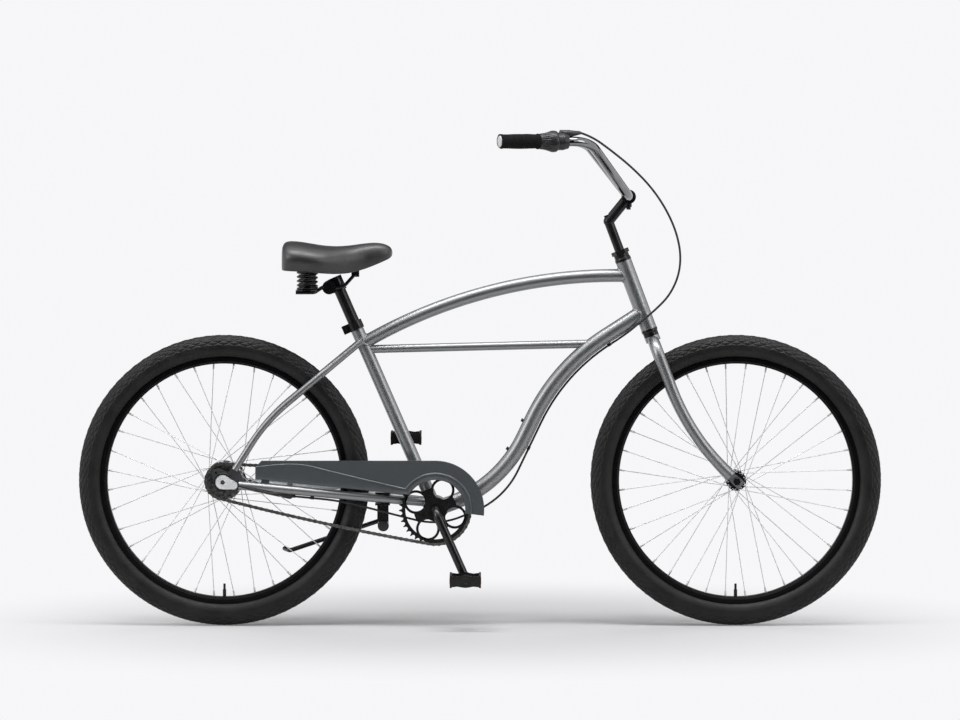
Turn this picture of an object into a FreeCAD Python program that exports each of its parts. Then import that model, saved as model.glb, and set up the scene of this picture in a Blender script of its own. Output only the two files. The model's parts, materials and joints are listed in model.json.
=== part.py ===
"""Beach cruiser bicycle, modelled as a parametric document of separate pieces.

Frame of the model: X forward, Y to the rider's left, Z up, millimetres.
The origin lies on the ground, midway between the axles, on the middle plane.
"""
import FreeCAD, Part
import math
import os

import Sketcher

V = FreeCAD.Vector
Y_AXIS = V(0, 1, 0)
Z_AXIS = V(0, 0, 1)
SIDES = (("right", -1), ("left", 1))

doc = FreeCAD.newDocument("beach_cruiser")

# Driving dimensions: lengths in millimetres, angles in degrees, and counts.
DRIVING = {
    # wheels
    "wheelbase": 1185, "tyre_width": 57, "tyre_wall": 4, "tyre_fit": 0.4, "tube_fit": 0.3, "tube_skin": 1,
    "rim_radius": 284.5, "rim_depth": 14, "rim_width": 36, "rim_wall": 2.2, "bead_depth": 4,
    "spoke_count": 36, "spoke_crosses": 3, "spoke_diameter": 2, "spoke_head": 3.4, "spoke_elbow": 2,
    "spoke_lift": 2.3, "spoke_start": 5, "rim_offset": 2,
    "nipple_diameter": 4.4, "nipple_length": 12, "valve_diameter": 8, "valve_length": 30,
    "flange_thickness": 3, "hole_slack": 0.3, "seat_gap": 0.05, "running_gap": 0.3,
    "front_flange_radius": 23, "front_flange_spacing": 60, "front_hub_radius": 14, "front_hub_width": 74,
    "front_dropout_gap": 100, "front_axle_diameter": 9.5, "front_axle_length": 138,
    "rear_flange_radius": 44, "rear_flange_spacing": 58, "rear_hub_radius": 35, "rear_hub_width": 72,
    "rear_dropout_gap": 117, "rear_axle_diameter": 10, "rear_axle_length": 168,
    "hole_inset": 3.6, "axle_nut": 15, "axle_nut_height": 8, "cone_diameter": 17,
    # frame
    "head_angle": 69.4, "head_tube_length": 168, "head_tube_diameter": 37, "head_tube_bore": 30.2,
    "head_setback": 201.5, "head_rise": 350.3, "crank_drop": 65, "chainstay_length": 491.8,
    "seat_angle": 66.37, "seat_tube_length": 470, "seat_tube_diameter": 30.2, "seat_tube_bore": 27.4,
    "shell_diameter": 56, "shell_bore": 51.4, "shell_width": 70, "tube_wall": 2,
    "top_tube_diameter": 30, "top_tube_arc": 1160, "top_tube_low": 417, "top_tube_drop": 36.5,
    "crossbar_diameter": 19, "crossbar_low": 402, "crossbar_reach": 134,
    "down_tube_diameter": 36, "down_tube_rise": 41,
    "chainstay_diameter": 20, "chainstay_bend_back": 180, "chainstay_bend_out": 45,
    "chainstay_bend_rise": 30, "chainstay_root_rise": 13, "chainstay_root_out": 19, "chainstay_arc": 220,
    "seatstay_diameter": 16, "seatstay_low": 424, "seatstay_root_out": 9, "seatstay_fork_back": 94,
    "seatstay_fork_out": 43, "seatstay_fork_drop": 78, "seatstay_bend_back": 222, "seatstay_bend_out": 52,
    "seatstay_bend_drop": 185, "seatstay_arc": 420, "seatstay_fork_arc": 170,
    "dropout_thickness": 5, "dropout_corner": 5, "eyelet_diameter": 5.2,
    "collar_height": 20, "collar_wall": 3, "collar_ear": 13, "collar_bolt": 6,
    # steering
    "cup_height": 9, "cup_diameter": 38, "cup_press": 14, "steerer_diameter": 25.4, "steerer_bore": 22.4,
    "race_height": 8, "race_diameter": 35, "locknut_height": 9, "locknut_width": 36,
    "fork_leg_diameter": 26, "fork_leg_spread": 111, "crown_bend": 40, "crown_leg": 80,
    "fork_straight": 140, "fork_plate": 5.5, "fork_plate_reach": 17, "fork_plate_half": 12,
    "fork_plate_tongue": 42,
    "fork_plate_tail": 15, "fork_plate_corner": 6,
    "quill_diameter": 22.2, "quill_depth": 70, "stem_rise": 98, "stem_arm_diameter": 24,
    "stem_bolt_diameter": 8, "stem_bolt_head": 13, "wedge_length": 20, "clamp_lug": 24,
    "clamp_lug_diameter": 15, "clamp_screw": 6, "clamp_ahead": 46, "clamp_rise": 57,
    "clamp_diameter": 33, "clamp_width": 44,
    "bar_diameter": 22.2, "bar_wall": 2, "bar_centre": 42, "bar_corner_back": 96, "bar_corner_out": 268,
    "bar_rise": 128, "bar_end_back": 298, "bar_end_out": 336, "bar_low_bend": 90, "bar_high_bend": 80,
    "grip_diameter": 34, "grip_length": 132, "right_grip_length": 92, "plug_length": 4,
    "twist_length": 42, "twist_diameter": 44, "housing_length": 26, "housing_diameter": 40,
    # drive
    "chain_pitch": 12.7, "roller_diameter": 7.75, "ring_teeth": 40, "sprocket_teeth": 20,
    "chain_sag": 5, "chain_line": 45, "tooth_width": 2.8, "plate_thickness": 1.1,
    "plate_height": 8.2, "pin_diameter": 3.6, "inner_width": 3.4, "seat_slack": 0.17,
    "ring_hole": 24.5, "ring_hole_centre": 48, "ring_band": 3, "ring_rim": 73, "ring_core": 50,
    "crank_length": 170, "crank_turn": -65.8, "crank_rod": 20, "crank_bend": 24, "crank_flare": 10,
    "spindle_half": 50, "crank_eye": 28, "crank_eye_width": 17, "pedal_thread": 14,
    "pedal_length": 92, "pedal_depth": 72, "pedal_height": 30, "pedal_gap": 6,
    "pedal_axle": 10, "pedal_barrel": 21, "pedal_wall": 6,
    "reflector_height": 16, "reflector_width": 52, "cone_rotor": 26, "cup_flange": 2,
    "bottom_cup_depth": 10, "driver_diameter": 30,
    "guard_line": 55, "guard_sheet": 1.6, "guard_lip": 12, "guard_radius": 113, "guard_window": 69,
    "guard_rear_back": 415, "guard_rear_low": 71, "guard_window_angle": 150, "guard_tip_angle": -7,
    "guard_bevel": 14, "guard_rib": 2, "guard_rib_radius": 84, "strap_width": 18, "strap_thickness": 3,
    # saddle
    "post_length": 260, "post_diameter": 27.2, "post_exposed": 114, "saddle_length": 256,
    "saddle_width": 238, "saddle_rise": 62, "pan_thickness": 4, "saddle_overhang": 58,
    "nose_pin": 7, "nose_pin_drop": 9, "nose_lug_width": 16, "nose_lug_length": 18,
    "spring_diameter": 46, "spring_wire": 5, "spring_turns": 4, "spring_height": 44,
    "spring_back": 59, "spring_out": 56, "rail_diameter": 8, "rail_gap": 44,
    "boss_back": 11, "boss_drop": 23, "boss_diameter": 32, "boss_width": 56, "clamp_sleeve": 34,
    "clamp_bolt": 8, "clamp_bolt_length": 78, "spring_seat": 50, "rail_turn_ahead": 19,
    "spring_seat_height": 3, "rail_nose_ahead": 60, "rail_nose_out": 14, "spring_bend": 4.6, "saddle_low": 17,
    # stand and cable
    "stand_back": 122, "stand_drop": 32, "stand_rod": 10.5, "stand_length": 230, "stand_out": 46,
    "stand_eye": 26, "stand_eye_width": 14, "stand_pin": 10, "stand_plate": 4, "stand_plate_width": 34,
    "stand_plate_span": 84, "bolt_diameter": 8, "bolt_head": 5,
    "cable_diameter": 5, "cable_stand_off": 1, "guide_length": 9,
    "barrel_length": 46, "barrel_diameter": 10, "barrel_rise": 20,
    "selector_reach": 34, "selector_radius": 16, "selector_nose": 8, "selector_depth": 20,
    "brake_arm_reach": 150, "brake_arm_drop": 39, "brake_arm_root": 15, "brake_arm_tip": 8,
    "brake_arm_thickness": 3.5, "brake_arm_place": 40, "strap_wall": 2.2, "strap_length": 12,
}

sheet = doc.addObject("Spreadsheet::Sheet", "Dims")
sheet.Label = "driving dimensions"
for row, (alias, number) in enumerate(DRIVING.items(), start=1):
    sheet.set(f"A{row}", alias)
    sheet.set(f"B{row}", str(number))
    sheet.setAlias(f"B{row}", alias)
doc.recompute()


class Size:
    """A length that knows both its number and the sheet expression that gives it."""

    def __init__(self, text, number):
        self.text = text
        self.number = number

    def __float__(self):
        return float(self.number)

    def joined(self, other, sign, number):
        text = other.text if isinstance(other, Size) else repr(other)
        return Size(f"({self.text} {sign} {text})", number)

    def __add__(self, other):
        return self.joined(other, "+", self.number + float(other))

    def __sub__(self, other):
        return self.joined(other, "-", self.number - float(other))

    def __mul__(self, other):
        return self.joined(other, "*", self.number * float(other))

    def __truediv__(self, other):
        return self.joined(other, "/", self.number / float(other))

    def __neg__(self):
        return self * -1


class Sizes:
    """The driving dimensions as attributes, read back from the sheet."""

    def __getattr__(self, alias):
        return Size(f"Dims.{alias}", float(sheet.get(alias)))


size = Sizes()
num = {alias: float(sheet.get(alias)) for alias in DRIVING}
nodes = []


def bind(target, prop, value):
    """Tie a property to the sheet when the value is a Size, else set the number."""
    if isinstance(value, Size):
        target.setExpression(prop, value.text)
    setattr(target, prop, float(value))


def node(label, thing):
    """Register an object as one sub-part under the label that names its file."""
    thing.Label = label
    nodes.append(thing)
    return thing


def feature(name, shape):
    """A plain shape object for a form that no primitive or sketch describes."""
    thing = doc.addObject("Part::Feature", name)
    thing.Shape = shape
    return thing


def aimed(base, axis):
    """The placement that puts the local Z axis along the given axis at a base point."""
    return FreeCAD.Placement(base, FreeCAD.Rotation(Z_AXIS, axis))


def rod(name, radius, length, base, axis):
    """A cylinder from a base point along an axis."""
    thing = doc.addObject("Part::Cylinder", name)
    bind(thing, "Radius", radius)
    bind(thing, "Height", length)
    thing.Placement = aimed(base, axis)
    return thing


def cut(name, base, *tools):
    """The base object less every tool."""
    tool = tools[0]
    if len(tools) > 1:
        tool = doc.addObject("Part::MultiFuse", name + "_tools")
        tool.Shapes = list(tools)
    thing = doc.addObject("Part::Cut", name)
    thing.Base = base
    thing.Tool = tool
    return thing


def fuse(name, *things):
    """One solid from several that meet."""
    thing = doc.addObject("Part::MultiFuse", name)
    thing.Shapes = list(things)
    return thing


def group(name, *things):
    """Separate solids kept together in one sub-part."""
    thing = doc.addObject("Part::Compound", name)
    thing.Links = list(things)
    return thing


def ring(name, outer, bore, length, base, axis):
    """A cylinder with a round hole along its axis."""
    return cut(name, rod(name + "_outer", outer, length, base, axis),
               rod(name + "_bore", bore, length, base, axis))


def nut(name, across_flats, bore, height, base, axis):
    """A hexagon nut on a rod of the given radius."""
    prism = doc.addObject("Part::Prism", name + "_hex")
    prism.Polygon = 6
    bind(prism, "Circumradius", across_flats / (2 * math.cos(math.pi / 6)))
    bind(prism, "Height", height)
    prism.Placement = aimed(base, axis)
    return cut(name, prism, rod(name + "_bore", bore, height, base, axis))


def origin_plane(body, role):
    """One of a body's own origin planes."""
    return next(item for item in body.Origin.OriginFeatures if item.Role == role)


def polygon_sketch(body, name, corners):
    """A closed outline whose corners are held at their sizes from the body's origin."""
    sketch = body.newObject("Sketcher::SketchObject", name)
    sketch.AttachmentSupport = (origin_plane(body, "XY_Plane"), [""])
    sketch.MapMode = "FlatFace"
    points = [V(float(x), float(y), 0) for x, y in corners]
    count = len(points)
    for i in range(count):
        sketch.addGeometry(Part.LineSegment(points[i], points[(i + 1) % count]), False)
    for i in range(count):
        sketch.addConstraint(Sketcher.Constraint("Coincident", i, 2, (i + 1) % count, 1))
    for i, corner in enumerate(corners):
        for kind, value in zip(("DistanceX", "DistanceY"), corner):
            index = sketch.addConstraint(Sketcher.Constraint(kind, -1, 1, i, 1, float(value)))
            if isinstance(value, Size):
                sketch.setExpression(f"Constraints[{index}]", value.text)
    return sketch


def turned(name, corners, base, axis):
    """A body of revolution: corners are (radius, station along the axis)."""
    body = doc.addObject("PartDesign::Body", name)
    sketch = polygon_sketch(body, name + "_outline", corners)
    spin = body.newObject("PartDesign::Revolution", name + "_turn")
    spin.Profile = sketch
    spin.ReferenceAxis = (sketch, ["V_Axis"])
    spin.Angle = 360
    body.Tip = spin
    body.Placement = FreeCAD.Placement(base, FreeCAD.Rotation(Y_AXIS, axis))
    return body


def route(points, radii):
    """A path of straight runs joined by tangent arcs, one radius for each inner point."""
    edges = []
    start = points[0]
    for i, radius in enumerate(radii, start=1):
        before = (points[i - 1] - points[i]).normalize()
        after = (points[i + 1] - points[i]).normalize()
        half = before.getAngle(after) / 2
        reach = radius / math.tan(half)
        first = points[i] + before * reach
        last = points[i] + after * reach
        middle = points[i] + (before + after).normalize() * (radius / math.sin(half) - radius)
        if (first - start).Length > 1e-6:
            edges.append(Part.LineSegment(start, first).toShape())
        edges.append(Part.Arc(first, middle, last).toShape())
        start = last
    if (points[-1] - start).Length > 1e-6:
        edges.append(Part.LineSegment(start, points[-1]).toShape())
    return Part.Wire(edges)


def sweep(name, path, radius):
    """A round bar along a path, its section tied to the sheet."""
    edge = path.OrderedEdges[0]
    section = doc.addObject("Part::Circle", name + "_section")
    bind(section, "Radius", radius)
    section.Placement = aimed(edge.valueAt(edge.FirstParameter), edge.tangentAt(edge.FirstParameter))
    spine = feature(name + "_path", path)
    bar = doc.addObject("Part::Sweep", name)
    bar.Sections = [section]
    bar.Spine = (spine, [f"Edge{i + 1}" for i in range(len(path.Edges))])
    bar.Solid = True
    bar.Frenet = False
    return bar


def tube(name, path, radius, wall, *tools):
    """A bent tube: the bar less its bore and less the pieces that it meets."""
    return cut(name, sweep(name + "_bar", path, radius), sweep(name + "_bore", path, radius - wall), *tools)


def slab(name, wire, thickness, direction):
    """A flat plate cut to a closed outline and thickened along a direction."""
    plate = doc.addObject("Part::Extrusion", name)
    plate.Base = feature(name + "_outline", Part.Face(wire))
    plate.DirMode = "Custom"
    plate.Dir = direction
    plate.Solid = True
    bind(plate, "LengthFwd", thickness)
    return plate


def arc_by(start, through, end):
    """An arc through three points."""
    return Part.Arc(start, through, end).toShape()


def straight(start, end):
    """A straight edge."""
    return Part.LineSegment(start, end).toShape()


def rounded(points, radius):
    """A closed outline of straight edges with every corner rounded to one radius."""
    edges = []
    count = len(points)
    start = None
    for i in range(count):
        before = (points[i - 1] - points[i]).normalize()
        after = (points[(i + 1) % count] - points[i]).normalize()
        half = before.getAngle(after) / 2
        first = points[i] + before * (radius / math.tan(half))
        last = points[i] + after * (radius / math.tan(half))
        middle = points[i] + (before + after).normalize() * (radius / math.sin(half) - radius)
        if start is None:
            opening = first
        else:
            edges.append(straight(start, first))
        edges.append(arc_by(first, middle, last))
        start = last
    edges.append(straight(start, opening))
    return Part.Wire(edges)


def root(square):
    """The square root of a size."""
    return Size(f"sqrt({square.text})", math.sqrt(square.number))


# Layout of the axles, the crank centre and the steering and seat axes.
tyre_section = size.tyre_width / 2
flange_half = size.rim_width / 2 - size.rim_wall
tyre_centre = size.rim_radius + size.tyre_fit + root(tyre_section * tyre_section - flange_half * flange_half)
wheel_radius = float(tyre_centre + tyre_section)
rear_axle = V(-num["wheelbase"] / 2, 0, wheel_radius)
front_axle = V(num["wheelbase"] / 2, 0, wheel_radius)
head_down = V(math.cos(math.radians(num["head_angle"])), 0, -math.sin(math.radians(num["head_angle"])))
head_ahead = V(-head_down.z, 0, head_down.x)
head_low = front_axle + V(-num["head_setback"], 0, num["head_rise"])
head_top = head_low - head_down * num["head_tube_length"]
seat_up = V(-math.cos(math.radians(num["seat_angle"])), 0, math.sin(math.radians(num["seat_angle"])))


def pitch_radius(teeth):
    """The radius through the roller centres of a chain wheel."""
    return num["chain_pitch"] / (2 * math.sin(math.pi / teeth))


def on_wheel(centre, teeth, angle):
    """A roller centre on a chain wheel, at an angle from the forward direction."""
    radius = pitch_radius(teeth)
    return V(centre.x + radius * math.cos(angle), 0, centre.z + radius * math.sin(angle))


def bisect(function, low, high):
    """The place between two bounds where a function changes sign."""
    rising = function(high) > function(low)
    for _ in range(80):
        middle = (low + high) / 2
        if (function(middle) > 0) == rising:
            high = middle
        else:
            low = middle
    return (low + high) / 2


def sag_chord(links):
    """The chord and arc radius of a hanging run of links that sags by the given amount."""
    pitch = num["chain_pitch"]

    def excess(arc):
        half_turn = links * math.asin(pitch / (2 * arc))
        return arc * (1 - math.cos(half_turn)) - num["chain_sag"]

    arc = bisect(excess, links * pitch / 2, links * pitch * 400)
    return 2 * arc * math.sin(links * math.asin(pitch / (2 * arc))), arc


class ChainLine:
    """The closed roller chain: an even count of links, with the crank centre set so that it fits."""

    def __init__(self):
        self.front = int(num["ring_teeth"])
        self.rear = int(num["sprocket_teeth"])
        self.front_step = 2 * math.pi / self.front
        self.rear_step = 2 * math.pi / self.rear
        self.turn = math.radians(num["crank_turn"])
        self.settle(num["chainstay_length"])
        self.pick_counts()
        shift = num["chain_pitch"]
        length = bisect(self.slack, num["chainstay_length"] - shift, num["chainstay_length"] + shift)
        self.settle(length)

    def settle(self, length):
        """Place the crank centre at a distance from the rear axle and find the tangent angles."""
        drop = num["crank_drop"]
        self.length = length
        self.crank = rear_axle + V(math.sqrt(length ** 2 - drop ** 2), 0, -drop)
        slope = math.asin(-drop / length)
        lean = math.acos((pitch_radius(self.front) - pitch_radius(self.rear)) / length)
        self.top_angle = math.pi + slope - lean
        self.low_angle = math.pi + slope + lean
        if hasattr(self, "top_links"):
            self.top_end = self.rear_top_angle()

    def seat(self, angle):
        """The ring's roller seat nearest to an angle."""
        return self.turn + round((angle - self.turn) / self.front_step) * self.front_step

    def rear_top_angle(self):
        """The sprocket angle where the top run has a whole number of links."""
        start = on_wheel(self.crank, self.front, self.top_start)
        target = self.top_links * num["chain_pitch"]
        return bisect(lambda angle: (on_wheel(rear_axle, self.rear, angle) - start).Length - target,
                      self.top_angle - self.rear_step, self.top_angle + self.rear_step)

    def pick_counts(self):
        """Whole links on each run, with an even total."""
        pitch = num["chain_pitch"]
        self.top_start = self.seat(self.top_angle)
        self.low_start = self.seat(self.low_angle)
        front_top = on_wheel(self.crank, self.front, self.top_start)
        rear_top = on_wheel(rear_axle, self.rear, self.top_angle)
        self.top_links = round((rear_top - front_top).Length / pitch)
        self.top_end = self.rear_top_angle()
        self.rear_links = round((self.low_angle - self.top_end) / self.rear_step)
        self.front_links = round((self.top_start + 2 * math.pi - self.low_start) / self.front_step)
        run = self.low_run()
        fixed = self.top_links + self.rear_links + self.front_links
        self.low_links = min((n for n in range(int(run / pitch) - 1, int(run / pitch) + 4)
                              if (n + fixed) % 2 == 0), key=lambda n: abs(sag_chord(n)[0] - run))

    def low_run(self):
        """The distance between the rollers at the ends of the lower run."""
        rear_low = on_wheel(rear_axle, self.rear, self.top_end + self.rear_links * self.rear_step)
        return (on_wheel(self.crank, self.front, self.low_start) - rear_low).Length

    def slack(self, length):
        """How far the lower run is from its sagging chord at a crank distance."""
        self.settle(length)
        return self.low_run() - sag_chord(self.low_links)[0]

    def rollers(self):
        """All roller centres in order round the loop, from the ring's top seat."""
        points = []
        front_top = on_wheel(self.crank, self.front, self.top_start)
        rear_top = on_wheel(rear_axle, self.rear, self.top_end)
        for i in range(self.top_links):
            points.append(front_top + (rear_top - front_top) * (i / self.top_links))
        for i in range(self.rear_links):
            points.append(on_wheel(rear_axle, self.rear, self.top_end + i * self.rear_step))
        rear_low = on_wheel(rear_axle, self.rear, self.top_end + self.rear_links * self.rear_step)
        front_low = on_wheel(self.crank, self.front, self.low_start)
        chord, arc = sag_chord(self.low_links)
        along = (front_low - rear_low).normalize()
        down = V(along.z, 0, -along.x)
        middle = (front_low + rear_low) * 0.5
        centre = middle - down * math.sqrt(arc ** 2 - chord ** 2 / 4)
        half_turn = math.asin(chord / (2 * arc))
        for i in range(self.low_links):
            angle = -half_turn + 2 * half_turn * i / self.low_links
            points.append(centre + along * (arc * math.sin(angle)) + down * (arc * math.cos(angle)))
        for i in range(self.front_links):
            points.append(on_wheel(self.crank, self.front, self.low_start + i * self.front_step))
        return points


chain_line = ChainLine()
crank = chain_line.crank
print(f"chain: centres {chain_line.length:.2f} mm apart, {len(chain_line.rollers())} links, crank at {crank}")


# Frame: the bars are the tubes' full outer forms, which also cut the ends of the tubes that meet them.
head_bar = rod("head_bar", size.head_tube_diameter / 2, size.head_tube_length, head_low, -head_down)
head_bore = rod("head_bore", size.head_tube_bore / 2, size.head_tube_length, head_low, -head_down)
shell_end = crank - Y_AXIS * (num["shell_width"] / 2)
shell_bar = rod("shell_bar", size.shell_diameter / 2, size.shell_width, shell_end, Y_AXIS)
seat_bar = rod("seat_bar", size.seat_tube_diameter / 2, size.seat_tube_length, crank, seat_up)
seat_bore = rod("seat_bore", size.seat_tube_bore / 2, size.seat_tube_length, crank, seat_up)
node("head_tube", cut("head_tube_cut", head_bar, head_bore))
node("seat_tube", cut("seat_tube_cut", seat_bar, seat_bore, shell_bar))
node("bottom_bracket_shell", cut("shell_cut", shell_bar,
                                 rod("shell_bore_rod", size.shell_bore / 2, size.shell_width, shell_end, Y_AXIS)))


def bowed(start, end, radius):
    """An arc of a given radius between two points, bulging upwards."""
    half = (end - start) * 0.5
    lift = radius - math.sqrt(radius ** 2 - half.Length ** 2)
    outward = V(-half.z, 0, half.x).normalize()
    return Part.Wire([arc_by(start, start + half + outward * lift, end)])


top_path = bowed(crank + seat_up * num["top_tube_low"], head_top + head_down * num["top_tube_drop"],
                 num["top_tube_arc"])
top_bar = sweep("top_bar", top_path, size.top_tube_diameter / 2)
node("top_tube", cut("top_tube_cut", top_bar,
                     sweep("top_bore", top_path, size.top_tube_diameter / 2 - size.tube_wall), head_bar, seat_bar))

# The down tube's two corners, as shares of its span along X and Z, and how far each bend reaches along
# its outer run.
DOWN_UPPER = (0.411, 0.279)
DOWN_LOWER = (0.7, 0.915)
UPPER_BEND = 0.56
LOWER_BEND = 0.93


def arc_radius(before, corner, after, reach):
    """The radius of the arc that leaves its two runs at this distance from their corner."""
    return reach * math.tan((before - corner).getAngle(after - corner) / 2)


down_start = head_low - head_down * num["down_tube_rise"]
down_span = crank - down_start
down_upper = down_start + V(DOWN_UPPER[0] * down_span.x, 0, DOWN_UPPER[1] * down_span.z)
down_lower = down_start + V(DOWN_LOWER[0] * down_span.x, 0, DOWN_LOWER[1] * down_span.z)
down_radii = [arc_radius(down_start, down_upper, down_lower, UPPER_BEND * (down_upper - down_start).Length),
              arc_radius(down_upper, down_lower, crank, LOWER_BEND * (crank - down_lower).Length)]
down_path = route([down_start, down_upper, down_lower, crank], down_radii)
down_bar = sweep("down_bar", down_path, size.down_tube_diameter / 2)
node("down_tube", cut("down_tube_cut", down_bar,
                      sweep("down_bore", down_path, size.down_tube_diameter / 2 - size.tube_wall),
                      head_bar, shell_bar))

down_run = (down_upper - down_start).normalize()
cross_start = crank + seat_up * num["crossbar_low"]
cross_end = down_start + down_run * num["crossbar_reach"]
cross_path = Part.Wire([straight(cross_start, cross_end)])
node("crossbar", tube("crossbar_cut", cross_path, size.crossbar_diameter / 2, size.tube_wall,
                      seat_bar, top_bar, down_bar))


# Rear triangle: slotted end plates, and the stays that are slotted over them.
plate_middle = num["rear_dropout_gap"] / 2 + num["dropout_thickness"] / 2
DROPOUT_OUTLINE = ((-24, -13), (14, -17), (44, -19), (50, -2), (40, 24), (27, 38), (12, 22), (-9, 31), (-25, 28))
DROPOUT_EYELET = (-16, 21)


def dropout(label, sign):
    """A rear end plate round the axle, with an axle slot open to the rear and an eyelet above it."""
    inner = V(0, sign * num["rear_dropout_gap"] / 2, 0)
    outward = Y_AXIS * sign
    corners = [rear_axle + inner + V(x, 0, z) for x, z in DROPOUT_OUTLINE]
    plate = slab(label + "_plate", rounded(corners, num["dropout_corner"]), size.dropout_thickness, outward)
    slot_half = size.rear_axle_diameter / 2 + size.seat_gap
    slot_end = rod(label + "_slot_end", slot_half, size.dropout_thickness, rear_axle + inner, outward)
    slot = doc.addObject("Part::Box", label + "_slot")
    bind(slot, "Length", size.rear_flange_radius)
    bind(slot, "Height", slot_half * 2)
    bind(slot, "Width", size.dropout_thickness)
    corner = rear_axle - V(num["rear_flange_radius"], 0, float(slot_half))
    corner.y = min(inner.y, inner.y + sign * num["dropout_thickness"])
    slot.Placement.Base = corner
    x, z = DROPOUT_EYELET
    hole = rod(label + "_eyelet", size.eyelet_diameter / 2, size.dropout_thickness,
               rear_axle + inner + V(x, 0, z), outward)
    return plate, cut(label + "_cut", plate, slot_end, slot, hole)


def chainstay_path(sign):
    """From the shell outwards past the chain ring and the tyre to the end plate."""
    root_point = crank + V(0, sign * num["chainstay_root_out"], num["chainstay_root_rise"])
    bend = crank + V(-num["chainstay_bend_back"], sign * num["chainstay_bend_out"], num["chainstay_bend_rise"])
    tip = rear_axle + V(CHAINSTAY_END[0], sign * plate_middle, CHAINSTAY_END[1])
    return route([root_point, bend, tip], [num["chainstay_arc"]])


def seatstay_path(sign):
    """From the seat tube, spreading round the tyre, down to the end plate."""
    top = crank + seat_up * num["seatstay_low"] + Y_AXIS * (sign * num["seatstay_root_out"])
    spread = top + V(-num["seatstay_fork_back"], 0, -num["seatstay_fork_drop"])
    spread.y = sign * num["seatstay_fork_out"]
    bend = top + V(-num["seatstay_bend_back"], 0, -num["seatstay_bend_drop"])
    bend.y = sign * num["seatstay_bend_out"]
    tip = rear_axle + V(SEATSTAY_END[0], sign * plate_middle, SEATSTAY_END[1])
    return route([top, spread, bend, tip], [num["seatstay_fork_arc"], num["seatstay_arc"]])


CHAINSTAY_END = (36, -8)
SEATSTAY_END = (27, 27)
stay_bars = {}
for name, sign in SIDES:
    plate, finished = dropout(f"{name}_dropout", sign)
    node(f"{name}_dropout", finished)
    stay = sweep(f"{name}_chainstay_bar", chainstay_path(sign), size.chainstay_diameter / 2)
    stay_bars[name] = stay
    stay_bore = sweep(f"{name}_chainstay_bore", chainstay_path(sign),
                      size.chainstay_diameter / 2 - size.tube_wall)
    node(f"{name}_chainstay", cut(f"{name}_chainstay_cut", stay, stay_bore, shell_bar, seat_bar, plate))
    node(f"{name}_seatstay", tube(f"{name}_seatstay_cut", seatstay_path(sign), size.seatstay_diameter / 2,
                                  size.tube_wall, seat_bar, top_bar, plate))


# Wheels: tyre, inner tube with its valve, rim, laced spokes and hub.
rim_bed = size.rim_radius - size.rim_depth


def doughnut(name, centre, section):
    """A torus round a wheel's axle at the tyre's middle."""
    thing = doc.addObject("Part::Torus", name)
    bind(thing, "Radius1", tyre_centre)
    bind(thing, "Radius2", section)
    thing.Placement = aimed(centre, Y_AXIS)
    return thing


def tyre(label, axle):
    """A hollow tyre, open towards the rim between its two beads."""
    mouth_half = flange_half - size.tyre_wall
    mouth_base = axle - Y_AXIS * float(mouth_half)
    hollow = tyre_section - size.tyre_wall
    return cut(label + "_cut", doughnut(label + "_outer", axle, tyre_section),
               doughnut(label + "_hollow", axle, hollow),
               rod(label + "_mouth", tyre_centre - hollow * 0.8, mouth_half * 2, mouth_base, Y_AXIS))


def inner_tube(label, axle):
    """The air tube with its valve stem, which stands inwards through the rim at the bottom."""
    section = tyre_section - size.tyre_wall - size.tube_fit
    stem_top = axle - Z_AXIS * float(tyre_centre - section + size.tube_skin)
    stem_length = tyre_centre - section + size.tube_skin - rim_bed + size.valve_length
    stem = rod(label + "_stem", size.valve_diameter / 2, stem_length * 0.7, stem_top, Z_AXIS)
    cap = rod(label + "_cap", size.valve_diameter * 0.35, stem_length, stem_top, Z_AXIS)
    skin = fuse(label + "_skin", doughnut(label + "_outer", axle, section), stem, cap)
    return cut(label + "_cut", skin, doughnut(label + "_air", axle, section - size.tube_skin))


def rim(label, axle):
    """A rim of one rolled section with bead seats, a well and a valve hole."""
    outer = size.rim_radius
    seat = outer - size.bead_depth
    well = seat - size.bead_depth
    edge = size.rim_width / 2
    shoulder = rim_bed + size.rim_depth * 0.4
    half = [(outer, edge), (outer, flange_half), (seat, flange_half), (seat, flange_half * 0.6),
            (well, flange_half * 0.4)]
    bed = [(rim_bed, edge * 0.6), (shoulder, edge)]
    lower = [(radius, -station) for radius, station in reversed(half)]
    bed_lower = [(radius, -station) for radius, station in reversed(bed)]
    body = turned(label + "_body", half + lower + bed_lower + bed, axle, Y_AXIS)
    hole = rod(label + "_valve_hole", size.valve_diameter / 2 + size.hole_slack, size.rim_depth * 2,
               axle - Z_AXIS * (num["rim_radius"] + num["rim_depth"] / 2), Z_AXIS)
    return cut(label + "_cut", body, hole)


def around(axle, radius, angle, station):
    """A point on a circle round an axle, at an angle from forward and a lateral station."""
    turn = math.radians(angle)
    return axle + V(radius * math.cos(turn), station, radius * math.sin(turn))


def hub(label, axle, width, spacing, barrel, flange, bore):
    """A hub shell with two drilled flanges."""
    middle = spacing / 2
    face = size.flange_thickness / 2
    end = barrel * 0.85
    half = [(bore, width / 2), (end, width / 2), (end, middle + face), (flange, middle + face),
            (flange, middle - face), (barrel, middle - face)]
    body = turned(label + "_body", half + [(r, -y) for r, y in reversed(half)], axle, Y_AXIS)
    drill = num["spoke_diameter"] / 2 + num["hole_slack"]
    thickness = num["flange_thickness"]
    holes = []
    for hole_angle, sign in hole_places():
        start = around(axle, float(flange - size.hole_inset), hole_angle, sign * float(middle) - thickness)
        holes.append(Part.makeCylinder(drill, thickness * 2, start, Y_AXIS))
    return cut(label + "_drilled", body, feature(label + "_holes", Part.makeCompound(holes)))


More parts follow.
